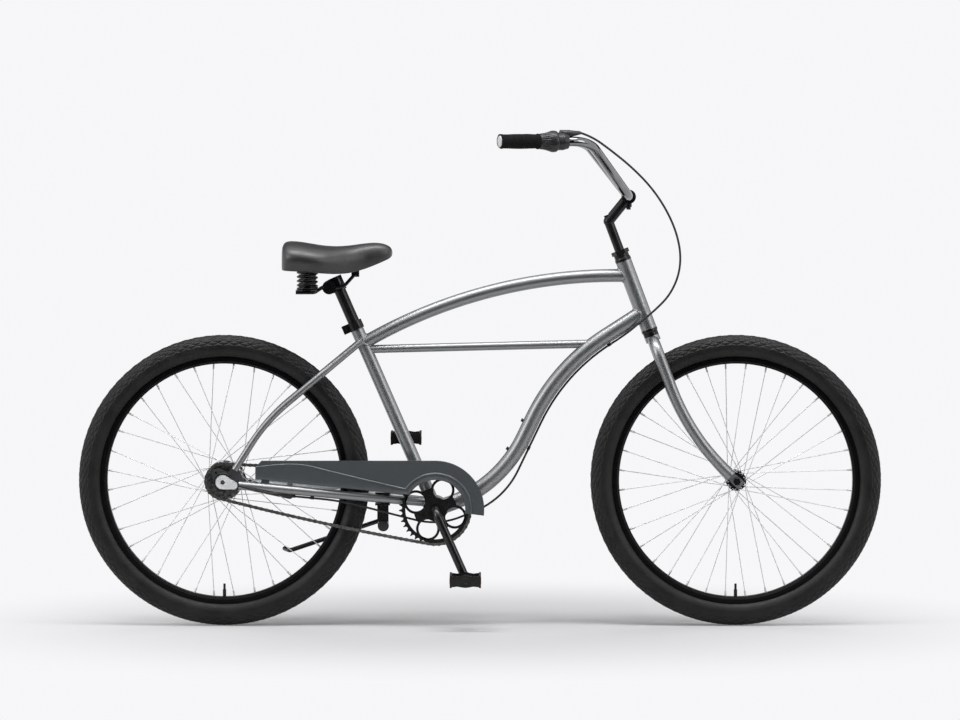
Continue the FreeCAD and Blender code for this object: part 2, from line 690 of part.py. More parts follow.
def hole_places():
    """The angle and side of every flange hole, the two sides half a step apart."""
    step = 720 / num["spoke_count"]
    for i in range(int(num["spoke_count"] / 2)):
        yield num["spoke_start"] + i * step, -1
        yield num["spoke_start"] + (i + 0.5) * step, 1


def spoke(axle, hole_radius, flange_place, angle, sign, outward):
    """One spoke: head, elbow through the flange, straight run and nipple, trimmed at the rim."""
    step = 720 / num["spoke_count"]
    rim_radius = float(rim_bed)
    face = outward * (num["flange_thickness"] / 2 + num["spoke_lift"])
    head_face = -outward * (num["flange_thickness"] / 2 + num["hole_slack"])
    rim_angle = angle + outward * num["spoke_crosses"] * step
    corner = around(axle, hole_radius, angle, sign * (flange_place + face))
    start = around(axle, hole_radius, angle, sign * (flange_place + head_face))
    end = around(axle, rim_radius + num["nipple_length"] / 4, rim_angle, sign * num["rim_offset"])
    path = route([start, corner, end], [num["spoke_elbow"]])
    along = (end - corner).normalize()
    stub = (corner - start).normalize()
    wire = Part.Wire([Part.Circle(start, stub, num["spoke_diameter"] / 2).toShape()])
    body = path.makePipeShell([wire], True, False)
    head = Part.makeCylinder(num["spoke_head"] / 2, num["spoke_diameter"] / 2, start, -stub)
    nipple_start = end - along * (num["nipple_length"] * 1.25)
    nipple = Part.makeCylinder(num["nipple_diameter"] / 2, num["nipple_length"] * 1.25, nipple_start, along)
    width = num["front_flange_spacing"] + num["rear_flange_spacing"]
    inside = Part.makeCylinder(rim_radius - num["seat_gap"], width, axle - Y_AXIS * (width / 2), Y_AXIS)
    return body.fuse([head, nipple]).common(inside)


def spokes(label, axle, flange, spacing):
    """All spokes of one wheel: four patterns, each turned round the axle."""
    step = 720 / num["spoke_count"]
    hole_radius = float(flange - size.hole_inset)
    laced = []
    for sign, shift in ((-1, 0), (1, 0.5)):
        for index, outward in ((0, 1), (1, -1)):
            angle = num["spoke_start"] + (index + shift) * step
            first = spoke(axle, hole_radius, float(spacing / 2), angle, sign, outward)
            for i in range(int(num["spoke_count"] / 4)):
                laced.append(first.rotated(axle, -Y_AXIS, 2 * step * i))
    return feature(label, Part.makeCompound(laced))


def wheel(label, axle, width, spacing, barrel, flange, bore):
    """All pieces of one wheel."""
    node(f"{label}_tyre", tyre(f"{label}_tyre", axle))
    node(f"{label}_inner_tube", inner_tube(f"{label}_inner_tube", axle))
    node(f"{label}_rim", rim(f"{label}_rim", axle))
    node(f"{label}_spokes", spokes(f"{label}_spoke_set", axle, flange, spacing))
    node(f"{label}_hub", hub(f"{label}_hub", axle, width, spacing, barrel, flange, bore))


wheel("front", front_axle, size.front_hub_width, size.front_flange_spacing, size.front_hub_radius,
      size.front_flange_radius, size.front_axle_diameter / 2 + size.running_gap)
wheel("rear", rear_axle, size.rear_hub_width, size.rear_flange_spacing, size.rear_hub_radius,
      size.rear_flange_radius, size.rear_axle_diameter / 2 + size.running_gap)


# Drive: toothed wheels, roller chain, one-piece crank, bearings and pedals.
def toothed_outline(teeth, centre, phase, station):
    """The outline of a chain wheel: a round seat for each roller and a tapered tooth between seats."""
    radius = pitch_radius(teeth)
    seat = num["roller_diameter"] / 2 + num["seat_slack"]
    step = 2 * math.pi / teeth
    tip = radius + num["roller_diameter"] * 0.42
    tip_half = 0.06 * step
    edges = []
    for i in range(int(teeth)):
        angle = phase + i * step
        radial = V(math.cos(angle), 0, math.sin(angle))
        across = V(-math.sin(angle), 0, math.cos(angle))
        middle = centre + radial * radius + Y_AXIS * station
        lean = math.radians(72)
        low = middle - radial * (seat * math.cos(lean)) - across * (seat * math.sin(lean))
        high = middle - radial * (seat * math.cos(lean)) + across * (seat * math.sin(lean))
        tips = []
        for turn in (angle + step / 2 - tip_half, angle + step / 2 + tip_half):
            tips.append(centre + V(math.cos(turn) * tip, station, math.sin(turn) * tip))
        if edges:
            edges.append(straight(last_tip, low))
        else:
            first_low = low
        edges.append(arc_by(low, middle - radial * seat, high))
        edges.append(straight(high, tips[0]))
        edges.append(straight(tips[0], tips[1]))
        last_tip = tips[1]
    edges.append(straight(last_tip, first_low))
    return Part.Wire(edges)


chain_y = -num["chain_line"]
wheel_face = chain_y - num["tooth_width"] / 2
crank_angle = math.radians(num["crank_turn"])
arm = V(math.cos(crank_angle), 0, math.sin(crank_angle))


def chain_ring():
    """The front chain wheel: a toothed band carried by four round loops."""
    blank = slab("ring_blank", toothed_outline(num["ring_teeth"], crank, crank_angle, wheel_face),
                 size.tooth_width, Y_AXIS)
    face = crank + Y_AXIS * wheel_face
    loops = []
    windows = []
    for i in range(4):
        place = math.radians(num["crank_turn"] + 45 + 90 * i)
        centre = face + V(math.cos(place), 0, math.sin(place)) * num["ring_hole_centre"]
        windows.append(rod(f"ring_window_{i}", size.ring_hole, size.tooth_width, centre, Y_AXIS))
        loops.append(rod(f"ring_loop_{i}", size.ring_hole + size.ring_band, size.tooth_width, centre, Y_AXIS))
    band = rod("ring_rim", size.ring_rim, size.tooth_width, face, Y_AXIS)
    core = rod("ring_core", size.ring_core, size.tooth_width, face, Y_AXIS)
    gaps = cut("ring_gaps", band, core, *loops)
    centre_hole = rod("ring_centre", size.crank_rod / 2 + size.seat_gap, size.tooth_width, face, Y_AXIS)
    return cut("ring_cut", blank, centre_hole, gaps, *windows)


node("chain_ring", chain_ring())

driver_start = -num["rear_hub_width"] / 2 - num["running_gap"]
driver_end = -num["rear_dropout_gap"] / 2 + num["dropout_thickness"]
axle_bore = size.rear_axle_diameter / 2 + size.running_gap
sprocket_blank = slab("sprocket_blank",
                      toothed_outline(num["sprocket_teeth"], rear_axle, chain_line.top_end, wheel_face),
                      size.tooth_width, Y_AXIS)
driver_seat = rod("driver_seat", size.driver_diameter / 2 + size.seat_gap, size.tooth_width,
                  rear_axle + Y_AXIS * wheel_face, Y_AXIS)
hub_driver = ring("hub_driver", size.driver_diameter / 2, axle_bore, driver_start - driver_end,
                  rear_axle + Y_AXIS * driver_end, Y_AXIS)
node("rear_sprocket", group("sprocket_set", cut("sprocket_cut", sprocket_blank, driver_seat), hub_driver))


def link_plate(length, station):
    """A waisted side plate between two rollers, along X."""
    half = num["plate_height"] / 2
    waist = half * 0.76
    thickness = num["plate_thickness"]
    outline = Part.Wire([
        arc_by(V(0, station, half), V(-half, station, 0), V(0, station, -half)),
        arc_by(V(0, station, -half), V(length / 2, station, -waist), V(length, station, -half)),
        arc_by(V(length, station, -half), V(length + half, station, 0), V(length, station, half)),
        arc_by(V(length, station, half), V(length / 2, station, waist), V(0, station, half))])
    return Part.Face(outline).extrude(V(0, thickness, 0))


def link_pair():
    """An inner link with its rollers and an outer link with its pins, both lying along X."""
    pitch = num["chain_pitch"]
    inside = num["inner_width"] / 2
    thickness = num["plate_thickness"]
    outside = inside + thickness + num["seat_gap"]
    pin = num["pin_diameter"] / 2
    ends = (V(0, 0, 0), V(pitch, 0, 0))
    inner = [link_plate(pitch, inside), link_plate(pitch, -inside - thickness)]
    outer = [link_plate(pitch, outside), link_plate(pitch, -outside - thickness)]
    reach = outside + thickness * 1.5
    for end in ends:
        inner.append(Part.makeCylinder(num["roller_diameter"] / 2, inside * 2, end - Y_AXIS * inside, Y_AXIS))
        outer.append(Part.makeCylinder(pin, reach * 2, end - Y_AXIS * reach, Y_AXIS))
    inner_link = inner[0].fuse(inner[1:])
    for end in ends:
        bore = Part.makeCylinder(pin + num["seat_gap"], reach * 2, end - Y_AXIS * reach, Y_AXIS)
        inner_link = inner_link.cut(bore)
    return inner_link, outer[0].fuse(outer[1:])


def roller_chain():
    """The closed chain: inner and outer links in turn along the roller centres."""
    pair = link_pair()
    rollers = chain_line.rollers()
    links = []
    for i, here in enumerate(rollers):
        ahead = rollers[(i + 1) % len(rollers)] - here
        turn = FreeCAD.Rotation(-Y_AXIS, math.degrees(math.atan2(ahead.z, ahead.x)))
        link = pair[i % 2].copy()
        link.Placement = FreeCAD.Placement(here + Y_AXIS * chain_y, turn)
        links.append(link)
    return feature("roller_chain", Part.makeCompound(links))


node("chain", roller_chain())

eye_out = num["spindle_half"] + num["crank_bend"] + num["crank_flare"]
corner_out = num["spindle_half"] + num["crank_bend"]
eyes = {"right": crank + arm * num["crank_length"] - Y_AXIS * eye_out,
        "left": crank - arm * num["crank_length"] + Y_AXIS * eye_out}


def one_piece_crank():
    """A single bent bar: right arm, spindle and left arm, with a threaded eye at each end."""
    path = route([eyes["right"], crank - Y_AXIS * corner_out, crank + Y_AXIS * corner_out, eyes["left"]],
                 [num["crank_bend"], num["crank_bend"]])
    bosses = []
    threads = []
    for name, sign in SIDES:
        inner = eyes[name] - Y_AXIS * (sign * num["crank_eye_width"] / 2)
        bosses.append(rod(f"{name}_eye", size.crank_eye / 2, size.crank_eye_width, inner, Y_AXIS * sign))
        threads.append(rod(f"{name}_thread", size.pedal_thread / 2, size.crank_eye_width * 1.5,
                           inner, Y_AXIS * sign))
    forged = fuse("crank_forging", sweep("crank_bar", path, size.crank_rod / 2), *bosses)
    return cut("crank_cut", forged, *threads)


cup_inner = num["shell_width"] / 2 - num["bottom_cup_depth"]
cone_inner = cup_inner - num["cup_flange"]
cups = []
cones = []
for name, sign in SIDES:
    outward = Y_AXIS * sign
    cups.append(turned(f"{name}_bottom_cup", [
        (size.cone_rotor / 2 + size.running_gap, 0), (size.shell_bore / 2, 0),
        (size.shell_bore / 2, size.bottom_cup_depth), (size.shell_diameter / 2, size.bottom_cup_depth),
        (size.shell_diameter / 2, size.bottom_cup_depth + size.cup_flange),
        (size.cone_rotor / 2 + size.running_gap, size.bottom_cup_depth + size.cup_flange)],
        crank + outward * cup_inner, outward))
    cone_end = num["chain_line"] - num["tooth_width"] / 2
    cones.append(ring(f"{name}_cone", size.cone_rotor / 2, size.crank_rod / 2, cone_end - cone_inner,
                      crank + outward * cone_inner, outward))
node("bottom_bracket_cups", group("bottom_cups", *cups))
node("crank_arms", group("crank_set", one_piece_crank(), *cones))


def pedal_spindle(name, sign):
    """The pedal's axle: a threaded root in the crank eye and a thinner journal through the pedal."""
    outward = Y_AXIS * sign
    inner = eyes[name] - outward * (num["crank_eye_width"] / 2)
    root_length = size.crank_eye_width + size.pedal_gap - size.running_gap
    thread = rod(f"{name}_spindle_root", size.pedal_thread / 2, root_length, inner, outward)
    journal = rod(f"{name}_spindle_journal", size.pedal_axle / 2, root_length + size.pedal_length, inner, outward)
    return fuse(f"{name}_spindle", thread, journal)


def block(name, length, width, height, corner):
    """A box along the model's axes from its lowest corner."""
    thing = doc.addObject("Part::Box", name)
    bind(thing, "Length", length)
    bind(thing, "Width", width)
    bind(thing, "Height", height)
    thing.Placement.Base = corner
    return thing


def pedal(name, sign):
    """A platform pedal: a window frame round a barrel, with recesses for its reflectors."""
    depth, width, height = num["pedal_depth"], num["pedal_length"], num["pedal_height"]
    start = eyes[name].y + sign * (num["crank_eye_width"] / 2 + num["pedal_gap"])
    low_y = min(start, start + sign * width)
    wall = num["pedal_wall"]
    corner = V(eyes[name].x - depth / 2, low_y, eyes[name].z - height / 2)
    frame_box = block(f"{name}_pedal_box", size.pedal_depth, size.pedal_length, size.pedal_height, corner)
    barrel_radius = num["pedal_barrel"] / 2
    window_length = size.pedal_depth / 2 - size.pedal_barrel / 2 - size.pedal_wall * 2
    tools = []
    for i, x in enumerate((-depth / 2 + wall, barrel_radius + wall)):
        place = V(eyes[name].x + x, low_y + wall, corner.z)
        tools.append(block(f"{name}_pedal_window_{i}", window_length, size.pedal_length - size.pedal_wall * 2,
                           size.pedal_height, place))
    recess_y = low_y + (width - num["reflector_width"]) / 2
    recess_z = eyes[name].z - num["reflector_height"] / 2
    reflectors = []
    for i, x in enumerate((-depth / 2, depth / 2 - wall / 2)):
        place = V(eyes[name].x + x, recess_y, recess_z)
        reflectors.append(block(f"{name}_reflector_{i}", size.pedal_wall / 2, size.reflector_width,
                                size.reflector_height, place))
    bore = rod(f"{name}_pedal_bore", size.pedal_axle / 2 + size.running_gap, size.pedal_length,
               V(eyes[name].x, low_y, eyes[name].z), Y_AXIS)
    waist = (size.pedal_height - size.pedal_barrel) / 2
    for i, z in enumerate((corner.z, eyes[name].z + barrel_radius)):
        place = V(eyes[name].x - barrel_radius - wall, low_y + wall, z)
        tools.append(block(f"{name}_pedal_waist_{i}", size.pedal_barrel + size.pedal_wall * 2,
                           size.pedal_length - size.pedal_wall * 2, waist, place))
    return [cut(f"{name}_pedal_cut", frame_box, bore, *tools, *reflectors), *reflectors]


for name, sign in SIDES:
    node(f"{name}_pedal", group(f"{name}_pedal_set", *pedal(name, sign)))
node("pedal_spindles", group("pedal_spindle_pair", *[pedal_spindle(name, sign) for name, sign in SIDES]))


# Steering: headset, fork, quill stem, handlebar, grips and twist shifter.
head_up = -head_down
steerer = size.steerer_diameter / 2
cup_profile = [(steerer + size.running_gap, -size.cup_press), (size.head_tube_bore / 2, -size.cup_press),
               (size.head_tube_bore / 2, 0), (size.cup_diameter / 2, 0),
               (size.cup_diameter / 2, size.cup_height * 0.6), (size.race_diameter / 2, size.cup_height),
               (steerer + size.running_gap, size.cup_height)]
node("headset_cups", group("headset_cup_pair", turned("upper_cup", cup_profile, head_top, head_up),
                           turned("lower_cup", cup_profile, head_low, head_down)))
race_place = num["cup_height"] + num["running_gap"]
crown_top = race_place + num["race_height"]
node("headset_races", group("headset_race_set",
                            ring("upper_race", size.race_diameter / 2, steerer, size.race_height,
                                 head_top + head_up * race_place, head_up),
                            ring("lower_race", size.race_diameter / 2, steerer, size.race_height,
                                 head_low + head_down * race_place, head_down),
                            nut("locknut", size.locknut_width, steerer, size.locknut_height,
                                head_top + head_up * crown_top, head_up)))
steerer_length = size.head_tube_length + (size.cup_height + size.running_gap + size.race_height) * 2
node("fork_steerer", ring("steerer_tube", steerer, size.steerer_bore / 2, steerer_length + size.locknut_height,
                          head_low + head_down * crown_top, head_up))


def fork_point(along, ahead, lateral):
    """A point given along the steering axis below the head tube, ahead of it, and to the side."""
    return head_low + head_down * along + head_ahead * ahead + Y_AXIS * lateral


leg_radius = num["fork_leg_diameter"] / 2
leg_out = num["fork_leg_spread"] / 2
crown_middle = crown_top + leg_radius
crown_path = route([fork_point(num["crown_leg"], 0, -leg_out), fork_point(crown_middle, 0, -leg_out),
                    fork_point(crown_middle, 0, leg_out), fork_point(num["crown_leg"], 0, leg_out)],
                   [num["crown_bend"], num["crown_bend"]])
crown_seat = rod("crown_seat", size.race_diameter / 2, size.fork_leg_diameter / 2,
                 head_low + head_down * crown_top, head_down)
crown_form = fuse("crown_form", sweep("crown_bar", crown_path, size.fork_leg_diameter / 2), crown_seat)
node("fork_crown", cut("crown_cut", crown_form,
                       sweep("crown_bore", crown_path, size.fork_leg_diameter / 2 - size.tube_wall)))

axle_along = (front_axle - head_low).dot(head_down)
axle_ahead = (front_axle - head_low).dot(head_ahead)
leg_end_along = axle_along - num["fork_plate_reach"]
leg_end_ahead = axle_ahead - num["fork_plate_reach"] / 2
half_bend = math.atan(leg_end_ahead / (leg_end_along - num["fork_straight"]))
leg_arc = (leg_end_along - num["fork_straight"]) / math.sin(2 * half_bend)


def leg_path(lateral):
    """Straight along the steering axis, then one long forward bend to the end plate."""
    start = fork_point(num["crown_leg"], 0, lateral)
    bend = fork_point(num["fork_straight"], 0, lateral)
    middle = fork_point(num["fork_straight"] + leg_arc * math.sin(half_bend),
                        leg_arc * (1 - math.cos(half_bend)), lateral)
    end = fork_point(leg_end_along, leg_end_ahead, lateral)
    return Part.Wire([straight(start, bend), arc_by(bend, middle, end)])


leg_tangent = head_down * math.cos(2 * half_bend) + head_ahead * math.sin(2 * half_bend)
leg_across = V(-leg_tangent.z, 0, leg_tangent.x)


def fork_plate(label, sign):
    """The end plate that joins a fork leg to the axle."""
    inner = front_axle + Y_AXIS * (sign * num["front_dropout_gap"] / 2)
    half, tongue, tail = num["fork_plate_half"], num["fork_plate_tongue"], num["fork_plate_tail"]
    corners = [inner + leg_tangent * a + leg_across * b
               for a, b in ((tail, half), (tail, -half), (-tongue, -half * 0.7), (-tongue, half * 0.7))]
    plate = slab(label + "_blank", rounded(corners, num["fork_plate_corner"]), size.fork_plate, Y_AXIS * sign)
    hole = rod(label + "_hole", size.front_axle_diameter / 2 + size.seat_gap, size.fork_plate, inner,
               Y_AXIS * sign)
    return plate, cut(label + "_cut", plate, hole)


for name, sign in SIDES:
    plate, finished = fork_plate(f"{name}_fork_end", sign)
    leg = tube(f"{name}_fork_leg_cut", leg_path(sign * leg_out), size.fork_leg_diameter / 2,
               size.tube_wall, plate)
    node(f"{name}_fork_leg", group(f"{name}_fork_leg_set", leg, finished))

front_parts = [rod("front_axle_rod", size.front_axle_diameter / 2, size.front_axle_length,
                   front_axle - Y_AXIS * (num["front_axle_length"] / 2), Y_AXIS)]
for name, sign in SIDES:
    outward = Y_AXIS * sign
    cone_start = num["front_hub_width"] / 2 + num["running_gap"]
    front_parts.append(ring(f"front_{name}_axle_cone", size.cone_diameter / 2, size.front_axle_diameter / 2,
                            num["front_dropout_gap"] / 2 - cone_start, front_axle + outward * cone_start, outward))
    nut_start = num["front_dropout_gap"] / 2 + num["fork_plate"]
    front_parts.append(nut(f"front_{name}_axle_nut", size.axle_nut, size.front_axle_diameter / 2,
                           size.axle_nut_height, front_axle + outward * nut_start, outward))
node("front_axle", group("front_axle_set", *front_parts))

elbow = head_top + head_up * num["stem_rise"]
clamp = elbow + V(num["clamp_ahead"], 0, num["clamp_rise"])
quill_foot = head_top + head_down * num["quill_depth"]
quill_length = size.quill_depth + size.stem_rise
bolt_seat = elbow + head_up * (num["stem_arm_diameter"] * 0.3)


def stem_form():
    """A quill stem: quill, elbow, rising arm and bar clamp with a lug for its screw."""
    quill = rod("quill", size.quill_diameter / 2, quill_length, quill_foot, head_up)
    knee = doc.addObject("Part::Sphere", "stem_elbow")
    bind(knee, "Radius", size.stem_arm_diameter / 2)
    knee.Placement.Base = elbow
    arm_rod = rod("stem_arm", size.stem_arm_diameter / 2, (clamp - elbow).Length, elbow, clamp - elbow)
    barrel = rod("stem_clamp", size.clamp_diameter / 2, size.clamp_width,
                 clamp - Y_AXIS * (num["clamp_width"] / 2), Y_AXIS)
    lug = rod("clamp_lug", size.clamp_lug_diameter / 2, size.clamp_lug, clamp, -Z_AXIS)
    form = fuse("stem_fuse", quill, knee, arm_rod, barrel, lug)
    bar_hole = rod("stem_bar_hole", size.bar_diameter / 2 + size.seat_gap, size.clamp_width,
                   clamp - Y_AXIS * (num["clamp_width"] / 2), Y_AXIS)
    bolt_hole = rod("stem_bolt_hole", size.stem_bolt_diameter / 2 + size.seat_gap,
                    quill_length + size.stem_arm_diameter, quill_foot, head_up)
    sink = rod("stem_bolt_sink", size.stem_bolt_head / 2 + size.seat_gap, size.stem_arm_diameter,
               bolt_seat, head_up)
    screw_hole = rod("clamp_screw_hole", size.clamp_screw / 2 + size.seat_gap, size.clamp_lug, clamp, -Z_AXIS)
    return cut("stem_cut", form, bar_hole, bolt_hole, sink, screw_hole)


wedge_foot = quill_foot + head_down * num["wedge_length"]
wedge = ring("wedge", size.quill_diameter / 2, size.stem_bolt_diameter / 2, size.wedge_length,
             wedge_foot, head_up)
bolt_length = float(quill_length) + num["wedge_length"] + num["stem_arm_diameter"] * 0.3
expander = fuse("expander_bolt",
                rod("stem_bolt_shank", size.stem_bolt_diameter / 2, bolt_length, wedge_foot, head_up),
                rod("stem_bolt_top", size.stem_bolt_head / 2, size.stem_bolt_diameter, bolt_seat, head_up))
screw_top = clamp - Z_AXIS * (num["bar_diameter"] / 2 + num["seat_gap"] * 4)
screw_length = size.clamp_lug - size.bar_diameter / 2 - size.seat_gap * 4
clamp_screw = fuse("clamp_screw_form",
                   rod("clamp_screw_shank", size.clamp_screw / 2, screw_length, screw_top, -Z_AXIS),
                   rod("clamp_screw_head", size.clamp_screw * 0.85, size.clamp_screw,
                       clamp - Z_AXIS * num["clamp_lug"], -Z_AXIS))
node("stem_bolts", group("stem_bolt_set", expander, wedge, clamp_screw))


def bar_points(sign):
    """Clamp end, high corner and free end of one side of the handlebar."""
    start = clamp + Y_AXIS * (sign * num["bar_centre"])
    corner = clamp + V(-num["bar_corner_back"], sign * num["bar_corner_out"], num["bar_rise"])
    end = clamp + V(-num["bar_end_back"], sign * num["bar_end_out"], num["bar_rise"])
    return start, corner, end


right_bar = bar_points(-1)
left_bar = bar_points(1)
bar_path = route([*reversed(right_bar), *left_bar],
                 [num["bar_high_bend"], num["bar_low_bend"], num["bar_low_bend"], num["bar_high_bend"]])
bar_tube = tube("handlebar_cut", bar_path, size.bar_diameter / 2, size.bar_wall)
node("handlebar", bar_tube)
node("stem", cut("stem_shaped", stem_form(), bar_tube, clamp_screw))

bar_radius = size.bar_diameter / 2
right_in = (right_bar[1] - right_bar[2]).normalize()
left_in = (left_bar[1] - left_bar[2]).normalize()


def grip(name, length, base, inward):
    """A rubber grip: a soft barrel with a flange at its inner end."""
    radius = size.grip_diameter / 2
    return turned(name, [(bar_radius, 0), (radius * 0.94, 0), (radius, length * 0.15), (radius, length * 0.8),
                         (radius * 0.96, length * 0.94), (radius * 1.06, length), (bar_radius, length)],
                  base, inward)


for name, length, end, inward in (("right", size.right_grip_length, right_bar[2], right_in),
                                  ("left", size.grip_length, left_bar[2], left_in)):
    plug = rod(f"{name}_bar_plug", size.grip_diameter * 0.44, size.plug_length, end, -inward)
    node(f"{name}_grip", group(f"{name}_grip_set", grip(f"{name}_grip_body", length, end, inward), plug))
twist_base = right_bar[2] + right_in * (num["right_grip_length"] + num["running_gap"])
twist_bore = bar_radius + size.running_gap
twist_radius = size.twist_diameter / 2
node("shifter_twist_grip", turned("twist_body", [
    (twist_bore, 0), (twist_radius * 0.8, 0), (twist_radius * 0.86, size.twist_length * 0.3),
    (twist_radius, size.twist_length * 0.62), (twist_radius, size.twist_length * 0.94),
    (twist_radius * 0.95, size.twist_length), (twist_bore, size.twist_length)], twist_base, right_in))
housing_base = twist_base + right_in * (num["twist_length"] + num["running_gap"])
housing_radius = size.housing_diameter / 2
barrel_foot = housing_base + right_in * (num["housing_length"] * 0.3) + Z_AXIS * num["barrel_rise"]
housing = fuse("housing_form",
               turned("housing_body", [(bar_radius, 0), (housing_radius, 0),
                                       (housing_radius, size.housing_length * 0.55),
                                       (housing_radius * 0.84, size.housing_length), (bar_radius, size.housing_length)],
                      housing_base, right_in),
               rod("barrel_root", size.barrel_diameter * 0.6, size.barrel_length * 0.5, barrel_foot, right_in),
               rod("barrel_tip", size.barrel_diameter * 0.38, size.barrel_length, barrel_foot, right_in))
housing_bar = rod("housing_bar", bar_radius, size.housing_length * 2, housing_base, right_in)
node("shifter_housing", cut("housing_cut", housing, housing_bar))


# Rear axle set, gear selector cover and brake reaction arm.
rear_parts = [rod("rear_axle_rod", size.rear_axle_diameter / 2, size.rear_axle_length,
                  rear_axle - Y_AXIS * (num["rear_axle_length"] / 2), Y_AXIS)]
plate_inner = num["rear_dropout_gap"] / 2
plate_outer = plate_inner + num["dropout_thickness"]
arm_outer = num["brake_arm_place"] + num["brake_arm_thickness"]
spacer_spans = {"right": [(-driver_end + num["running_gap"], plate_inner)],
                "left": [(num["rear_hub_width"] / 2 + num["running_gap"], num["brake_arm_place"]),
                         (arm_outer, plate_inner)]}
for name, sign in SIDES:
    outward = Y_AXIS * sign
    for i, (start, end) in enumerate(spacer_spans[name]):
        rear_parts.append(ring(f"rear_{name}_spacer_{i}", size.cone_diameter / 2, size.rear_axle_diameter / 2,
                               end - start, rear_axle + outward * start, outward))
    rear_parts.append(nut(f"rear_{name}_axle_nut", size.axle_nut, size.rear_axle_diameter / 2,
                          size.axle_nut_height, rear_axle + outward * plate_outer, outward))
node("rear_axle", group("rear_axle_set", *rear_parts))


def tapered_outline(centre, big, tip, small):
    """The outline of two circles of different size and their common tangents, in an XZ plane."""
    along = (tip - centre).normalize()
    across = V(-along.z, 0, along.x)
    lean = math.acos((big - small) / (tip - centre).Length)
    points = []
    for middle, radius in ((centre, big), (tip, small)):
        for sign in (1, -1):
            points.append(middle + along * (radius * math.cos(lean)) + across * (sign * radius * math.sin(lean)))
    back = centre - along * big
    front = tip + along * small
    return Part.Wire([arc_by(points[0], back, points[1]), straight(points[1], points[3]),
                      arc_by(points[3], front, points[2]), straight(points[2], points[0])])


selector_face = rear_axle - Y_AXIS * (plate_outer + num["running_gap"])
selector_tip = selector_face + V(num["selector_reach"] - num["selector_nose"], 0, -num["selector_nose"])
selector_blank = slab("selector_blank", tapered_outline(selector_face, num["selector_radius"], selector_tip,
                                                        num["selector_nose"]), size.selector_depth, -Y_AXIS)
selector_hollow = rod("selector_hollow", size.axle_nut * 0.6, size.axle_nut_height + size.running_gap,
                      selector_face, -Y_AXIS)
selector_axle = rod("selector_axle", size.rear_axle_diameter / 2 + size.seat_gap, size.rear_axle_length,
                    selector_face, -Y_AXIS)
node("gear_selector", cut("selector_cut", selector_blank, selector_hollow, selector_axle))

arm_root = rear_axle + Y_AXIS * num["brake_arm_place"]
arm_tip = arm_root + V(num["brake_arm_reach"], 0, -num["brake_arm_drop"])
arm_blank = slab("brake_arm_blank", tapered_outline(arm_root, num["brake_arm_root"], arm_tip, num["brake_arm_tip"]),
                 size.brake_arm_thickness, Y_AXIS)
arm_hole = rod("brake_arm_hole", size.rear_axle_diameter / 2 + size.seat_gap, size.brake_arm_thickness,
               arm_root, Y_AXIS)
left_stay_edge = chainstay_path(1).OrderedEdges[-1]
stay_run = (left_stay_edge.valueAt(left_stay_edge.LastParameter)
            - left_stay_edge.valueAt(left_stay_edge.FirstParameter)).normalize()
stay_tip = left_stay_edge.valueAt(left_stay_edge.LastParameter)
strap_centre = stay_tip + stay_run * ((arm_tip.x - stay_tip.x) / stay_run.x)
strap_start = strap_centre - stay_run * (num["strap_length"] / 2)
strap_hoop = rod("strap_hoop", size.chainstay_diameter / 2 + size.strap_wall, size.strap_length,
                 strap_start, stay_run)
strap_tail = block("strap_tail", size.strap_length, strap_centre.y - arm_outer,
                   strap_centre.z - arm_tip.z, V(arm_tip.x - num["strap_length"] / 2, arm_outer, arm_tip.z))
strap = cut("brake_strap", fuse("strap_form", strap_hoop, strap_tail), stay_bars["left"])
node("coaster_brake_arm", group("brake_arm_set", cut("brake_arm_cut", arm_blank, arm_hole), strap))


# Chain guard: a sheet cover outside the chain with a turned-in top edge and a raised bead.
guard_face = crank - Y_AXIS * num["guard_line"]


def about_crank(radius, degrees):
    """A point on the guard's inner face, on a circle about the crank centre."""
    turn = math.radians(degrees)
    return guard_face + V(radius * math.cos(turn), 0, radius * math.sin(turn))


def guard_sheet():
    """The flat cover: a long tail over the chain's top run and an arc round the ring."""
    outer, window, tip = num["guard_radius"], num["guard_window"], num["guard_tip_angle"]
    opening = num["guard_window_angle"]
    back, bevel = num["guard_rear_back"], num["guard_bevel"]
    rear_top = guard_face + V(-back + bevel, 0, outer)
    rear_bevel = guard_face + V(-back, 0, outer - bevel)
    rear_low = guard_face + V(-back, 0, num["guard_rear_low"])
    outline = Part.Wire([
        arc_by(about_crank(outer, tip), about_crank(outer, 45), about_crank(outer, 90)),
        straight(about_crank(outer, 90), rear_top), straight(rear_top, rear_bevel),
        straight(rear_bevel, rear_low), straight(rear_low, about_crank(window, opening)),
        arc_by(about_crank(window, opening), about_crank(window, 75), about_crank(window, tip)),
        straight(about_crank(window, tip), about_crank(outer, tip))])
    return slab("guard_sheet", outline, size.guard_sheet, -Y_AXIS)


def guard_edge():
    """The top edge, turned in over the chain."""
    outer = num["guard_radius"]
    inner = outer - num["guard_sheet"]
    tail = V(-num["guard_rear_back"] + num["guard_bevel"], 0, 0)
    start = num["guard_tip_angle"]
    outline = Part.Wire([
        arc_by(about_crank(outer, start), about_crank(outer, 45), about_crank(outer, 90)),
        straight(about_crank(outer, 90), about_crank(outer, 90) + tail),
        straight(about_crank(outer, 90) + tail, about_crank(inner, 90) + tail),
        straight(about_crank(inner, 90) + tail, about_crank(inner, 90)),
        arc_by(about_crank(inner, 90), about_crank(inner, 45), about_crank(inner, start)),
        straight(about_crank(inner, start), about_crank(outer, start))])
    return slab("guard_edge", outline, size.guard_lip, Y_AXIS)


